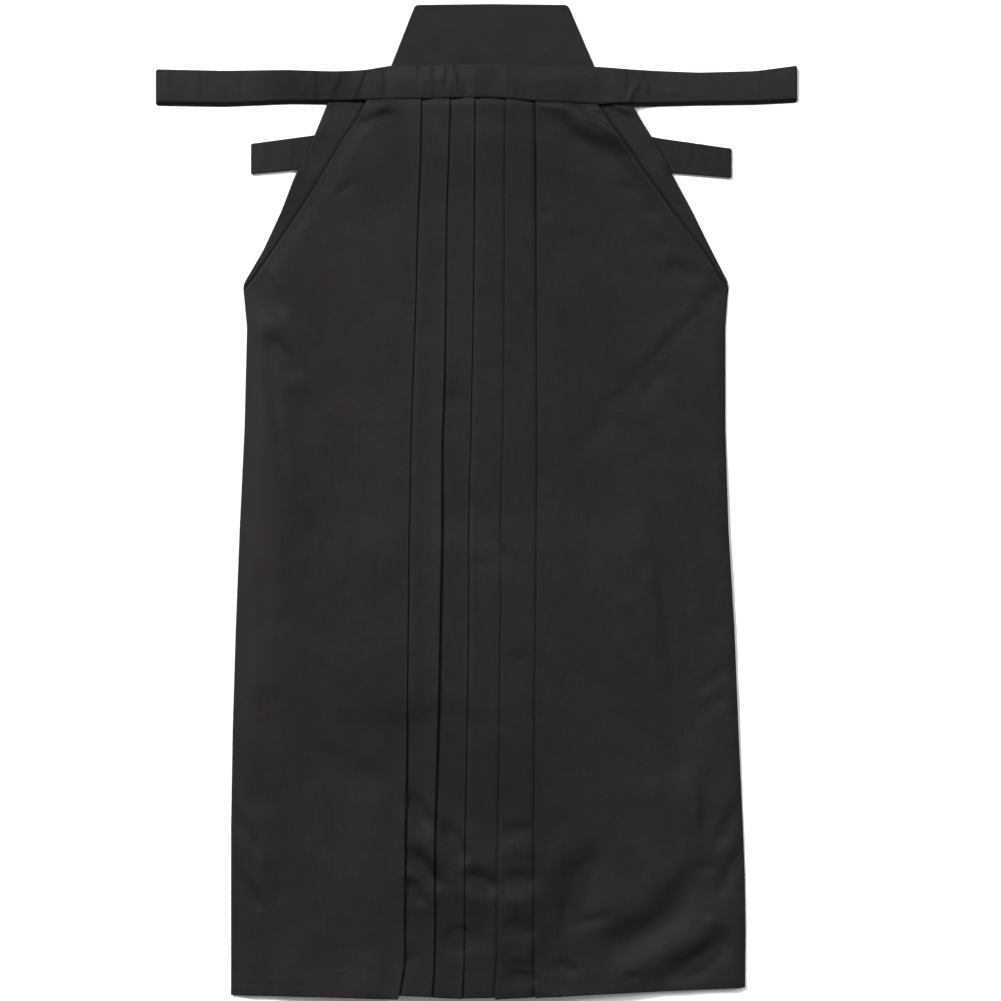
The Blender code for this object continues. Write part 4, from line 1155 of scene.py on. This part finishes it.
def back_board(ground):
    """A stiff board covered with cloth: a trapezium with round corners, a bowed top and a round rim."""
    s = close_at_ends(BOARD_CELLS[0])[:, None]
    u = 2 * close_at_ends(BOARD_CELLS[1]) - 1
    from_end = BOARD_HEIGHT * np.minimum(s, 1 - s)
    half = share(BOARD_TOP[1], BOARD_FOOT[1], s) - BOARD_CORNER * rounded(from_end / BOARD_CORNER)
    x = share(BOARD_TOP[0], BOARD_FOOT[0], s) + half * u
    y = HALF_LENGTH - BOARD_CROWN * u ** 2 - (BOARD_HEIGHT - BOARD_CROWN * u ** 2) * s
    to_rim = np.minimum(half * (1 - np.abs(u)), from_end)
    drawn = BOARD_RIM * rounded(to_rim / BOARD_RIM) * BOARD_RIM_DRAWN
    face = BOARD_NOISE * soft_noise(x, y, 22 * MM, 21) * smooth_step(to_rim / (8 * MM))
    face -= stitched_dip(to_rim - BOARD_SEAM[0], BOARD_SEAM[1])
    one = np.stack([x, y, board_underside(y) + BOARD_THICK - drawn + face], axis=-1)
    other = np.stack([x, y, board_underside(y) + drawn], axis=-1)
    cloth = walled("back_board_cloth", one, other, one[..., :2])
    down = (HALF_LENGTH - ground.y) / BOARD_HEIGHT
    middle, reach = (share(top, foot, down) for top, foot in zip(BOARD_TOP, BOARD_FOOT))
    inside = (np.abs(ground.x - middle) < reach + 3 * MM) & (down < 1 + 3 * MM / BOARD_HEIGHT)
    ground.raise_to(inside, board_underside(ground.y) + BOARD_THICK)
    return cloth


# Finish.


class Wire:
    """An output of a material's nodes.  Arithmetic on it adds Math nodes."""

    def __init__(self, finish, socket):
        self.finish, self.socket = finish, socket

    def math(self, operation, *values):
        return self.finish.node("ShaderNodeMath", {"operation": operation}, dict(enumerate(values)))

    def __add__(self, other):
        return self.math("ADD", self, other)

    def __sub__(self, other):
        return self.math("SUBTRACT", self, other)

    def __rsub__(self, other):
        return self.math("SUBTRACT", other, self)

    def __mul__(self, other):
        return self.math("MULTIPLY", self, other)

    __radd__ = __add__
    __rmul__ = __mul__

    def sine(self):
        return self.math("SINE", self)

    def near(self, middle, reach, full=0.0):
        """1 within full of the middle, falling smoothly to 0 at the reach on either side."""
        return self.math("ABSOLUTE", self - middle).eased(reach, full)

    def eased(self, start, end):
        """0 at start and before it, 1 at end and past it, smooth between."""
        return self.finish.node(
            "ShaderNodeMapRange", {"interpolation_type": "SMOOTHSTEP"}, {0: self, 1: start, 2: end})


class Finish:
    """A material, made node by node."""

    def __init__(self, name):
        self.material = bpy.data.materials.new(name)
        self.material.use_nodes = True
        self.nodes = self.material.node_tree.nodes

    def put(self, socket, value):
        if isinstance(value, Wire):
            self.material.node_tree.links.new(value.socket, socket)
        else:
            socket.default_value = value

    def node(self, kind, settings=None, sockets=None, output=0):
        node = self.nodes.new(kind)
        for key, value in (settings or {}).items():
            setattr(node, key, value)
        for key, value in (sockets or {}).items():
            self.put(node.inputs[key], value)
        return Wire(self, node.outputs[output])

    def noise(self, vector, scale, detail=2.0):
        return self.node("ShaderNodeTexNoise", sockets={"Vector": vector, "Scale": scale, "Detail": detail})

    def mixed(self, factor, one, other, blend="MIX"):
        return self.node("ShaderNodeMix", {"data_type": "RGBA", "blend_type": blend},
                         {0: factor, 6: one, 7: other}, output=2)

    def split(self, vector):
        first = self.node("ShaderNodeSeparateXYZ", sockets={0: vector})
        return first, Wire(self, first.socket.node.outputs[1])

    def done(self, **sockets):
        for key, value in sockets.items():
            self.put(self.nodes["Principled BSDF"].inputs[key.replace("_", " ")], value)
        return self.material


def cloth_finish(name, dark, light, slub, weave):
    """Black cloth: fine lines of the weave along and across, slubs, a soft unevenness of the dye and a
    darker patch, with painted light: a painted highlight along the left side and at the band's right end,
    and painted shade in the lower middle; the band is also darker towards its left end.
    """
    finish = Finish(name)
    uv = finish.node("ShaderNodeUVMap", {"uv_map": "cloth"})
    place = finish.node("ShaderNodeTexCoord", output="Object")
    u, v = finish.split(uv)
    yarn = 2 * np.pi / YARN
    threads = ((u * 0.72 + v) * yarn).sine() * 0.6 + (v * (yarn * 1.3)).sine() * 0.4
    along, across = (finish.node("ShaderNodeMapping", sockets={"Vector": uv, "Scale": scale})
                     for scale in SLUB_SCALES)
    slubs = finish.noise(along, 1.0) - 0.5 + (finish.noise(across, 1.0) - 0.5) * 0.8
    grain, patches = finish.noise(place, 330.0) - 0.5, finish.noise(place, 9.0) - 0.5
    dye = finish.noise(place, 42.0, 3.0) - 0.5
    x, y = finish.split(place)
    middle, top, half_width, onset = PAINTED_SHADE_LOW_MIDDLE
    # Painted shade: the cloth is darker in the lower middle.
    painted_shade_low = x.near(middle, half_width, 0.3 * half_width) * y.eased(top, top - onset)
    # Painted highlight: paler along the left side, from some way up.
    side = x.eased(*PAINTED_HIGHLIGHT_LEFT_SIDE) * y.eased(*PAINTED_HIGHLIGHT_ABOVE)
    # Painted highlight: the band and ties paler towards their right end; they are also darker towards their
    # left end.
    tie = (x.eased(*PAINTED_HIGHLIGHT_TIE) * 0.85 - x.eased(*DARK_TIE) * 0.6) * y.eased(*TIE_LEVEL)
    patch = x.near(DARK_PATCH[0], DARK_PATCH[2]) * y.near(DARK_PATCH[1], DARK_PATCH[2])
    tone = slubs * slub + grain * 0.9 + dye * 0.8 + patches * 0.7 + threads * 0.05 - painted_shade_low * 0.36
    tone = tone + side * 1.3 + tie - patch * 0.3 + 0.5
    tint = finish.mixed((finish.noise(place, 60.0, 1.0) - 0.5) * 2.2 + 0.5, COOL, WARM)
    colour = finish.mixed(1.0, finish.mixed(tone, dark, light), tint, "MULTIPLY")
    height = threads * weave + slubs * (slub * 0.6) + grain * 0.45
    bump = finish.node("ShaderNodeBump", sockets={"Strength": 0.5, "Distance": BUMP, "Height": height})
    return finish.done(Base_Color=colour, Roughness=0.62, Normal=bump, Specular_IOR_Level=SHEEN)


def thread_finish():
    finish = Finish("thread")
    grain = finish.noise(finish.node("ShaderNodeTexCoord", output="Object"), 900.0)
    colour = finish.mixed(grain, *([c * k for c in THREAD_COLOUR] + [1.0] for k in (0.8, 1.2)))
    return finish.done(Base_Color=colour, Roughness=0.45, Specular_IOR_Level=0.3)


# Stitches.


def stitched(name, lines, sizes):
    """Rows of stitches as one mesh: on each line they stand at even steps along it, each a short
    bead with its ends drawn in, half sunk into the cloth.

    A bead's ring at a share t of its length has the radius thickness times the root of
    (1 - (2t - 1) to the fourth).
    """
    length, pitch, thickness = sizes
    found = []
    for points, normals in lines:
        run = np.concatenate([[0.0], np.cumsum(np.linalg.norm(np.diff(points, axis=0), axis=1))])
        at = np.arange(pitch / 2, run[-1] - pitch / 2, pitch)
        centre, ahead, up = (
            np.stack([np.interp(place, run, column) for column in values.T], axis=1)
            for values, place in ((points, at), (points, at + pitch / 4), (normals + 0 * points, at)))
        found.append((centre, unit(ahead - centre), unit(up)))
    centre, way, up = (np.concatenate(parts)[:, None, None] for parts in zip(*found))
    t = np.linspace(-1.0, 1.0, 6)[:, None]
    radius = thickness / 2 * np.sqrt(np.clip(1.02 - t ** 4, 0.02, None))
    angle = np.radians(np.arange(0, 360, 60))
    ahead = t / 2 * length + 0 * angle
    aside, out = radius * np.cos(angle), radius * np.sin(angle) - t ** 2 * thickness * 0.45
    points = (centre + way * ahead[..., None] + np.cross(way, up) * aside[..., None] + up * out[..., None])
    k = np.arange(ahead.size).reshape(ahead.shape)
    n = np.roll(k, -1, axis=1)
    body = np.stack([k[:-1], n[:-1], n[1:], k[1:]], axis=-1).reshape(-1, 4)
    caps = [ring[corners] for ring in (k[0], k[-1]) for corners in ([0, 1, 2, 3], [3, 4, 5, 0])]
    quads = np.concatenate([body, [caps[0][::-1], caps[1][::-1], caps[2], caps[3]]])
    first = np.arange(len(centre))[:, None, None] * k.size
    return new_piece(name, points.reshape(-1, 3), (quads + first).reshape(-1, 4))


# Studio.


def floor_and_light():
    size = FLOOR_SIZE / 2
    mesh = bpy.data.meshes.new("floor")
    corners = [(size * x, size * y, FLOOR_LEVEL) for x, y in ((-1, -1), (1, -1), (1, 1), (-1, 1))]
    mesh.from_pydata(corners, [], [(0, 1, 2, 3)])
    mesh.materials.append(Finish("pale_floor").done(
        Base_Color=(0.86, 0.86, 0.86, 1.0), Roughness=0.9, Specular_IOR_Level=0.1))
    placed_in_scene("floor", mesh)

    world = bpy.data.worlds.new("studio")
    bpy.context.scene.world = world
    world.use_nodes = True
    background = world.node_tree.nodes["Background"]
    background.inputs["Color"].default_value = (1.0, 1.0, 1.0, 1.0)
    background.inputs["Strength"].default_value = WORLD_STRENGTH

    for name, place, width, power in LIGHTS:
        lamp = bpy.data.lights.new(name, "AREA")
        lamp.energy, lamp.size = power, width
        obj = placed_in_scene(name, lamp)
        obj.location = place
        obj.rotation_euler = Vector(place).to_track_quat("Z", "Y").to_euler()


def camera():
    data = bpy.data.cameras.new("camera")
    data.lens, data.sensor_width = LENS, SENSOR
    obj = placed_in_scene("camera", data)
    obj.location = (*VIEW_CENTRE, VIEW_WIDTH * LENS / SENSOR + CLOTH_LEVEL)
    bpy.context.scene.camera = obj
    bpy.context.scene.view_settings.view_transform = "Standard"


# The garment.


def dress(obj, material, node):
    """The piece's material, and what the frame needs to know about it."""
    obj.data.materials.append(material)
    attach(obj, "root")
    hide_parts(node)


def sewn_lines(ground, layers, name):
    """The seams of a leg panel: beside its slit, and above its hems."""
    slit, way, hems = SEAMS[name]
    face = -1 if "back" in name else 1
    return [slit_seam(ground, layers[0], slit, way * SLIT_INSET)] + [
        hem_seam(ground, layers[n], start, end, face) for n, start, end in hems]


def cut_cloths():
    """Lays the pieces from the surface up, lifts them by their folds, and makes their cloths.  Gives
    the cloths and the seams by the names of their pieces."""
    ground, band = Ground(), Waistband()
    cloths, seams = {}, {}
    cloths["back_ties"], seams["back_ties"] = back_ties(ground)
    cloths["back_board"] = back_board(ground)
    band.lay_left_return(ground)
    layers = {name: [] for name in RUNS}
    for n in range(len(RUNS["back_left"])):
        for name in ("back_left", "back_right"):
            layers[name].append(Layer(ground, RUNS[name][n]))
    hem, crotch = GUSSET_HEM_DROP / MM, int(np.searchsorted(DROPS, CROTCH_DROP))
    for name, lines in GUSSETS.items():
        layers[name] = [Layer(ground, (*lines[1::2], hem, hem), crotch)]
    under, behind, front = lifts(ground)
    ground.top = ground.top + behind - under
    band.lay_back(ground)
    for name in ("front_right", "front_left"):
        layers[name] = [Layer(ground, run) for run in RUNS[name][::-1]][::-1]
    covered = (ground.x >= ground.line("left")) & (ground.x <= ground.line("right"))
    ground.top = ground.top + np.where(covered, front, 0.0)
    cloths["waistband"], seams["waistband"] = band.finish(ground)

    for name, parts in layers.items():
        for n, layer in enumerate(parts):
            covered_by_none = "back" in name and n == 0
            layer.rise(front if "front" in name else behind if covered_by_none else under)
    for name, pleats in OPEN_PLEATS.items():
        open_edges(ground, layers[name], pleats, front - under)
    for name, (slit, _, _) in SEAMS.items():
        thicken_slit(layers[name][0], ground.line(slit))
        seams[name] = sewn_lines(ground, layers[name], name)
    for name in ("back_left", "back_right"):
        cloths[name] = folded_panel(name + "_cloth", layers[name], -1, BACK_LINE_GAP)
    for name, lines in GUSSETS.items():
        cloths[name] = gusset(name + "_cloth", ground, layers[name][0], lines)
    for name in ("front_right", "front_left"):
        cloths[name] = folded_panel(name + "_cloth", layers[name])
    return cloths, seams


def main():
    camera()
    floor_and_light()
    cloths, seams = cut_cloths()
    cloth, thread = cloth_finish("black_twill", *TWILL), thread_finish()
    board_cloth = cloth_finish("board_twill", *BOARD_TWILL)
    for name, node, flat, area, held, below, stitch in PIECES:
        obj = cloths[name]
        on_board = name == "back_board"
        dress(obj, board_cloth if on_board else cloth, node)
        threads = []
        if stitch:
            threads = [stitched(name + "_stitches", seams[name], stitch)]
            dress(threads[0], thread, node)
        rests_on = [cloths[below].name if below in cloths else below]


main()
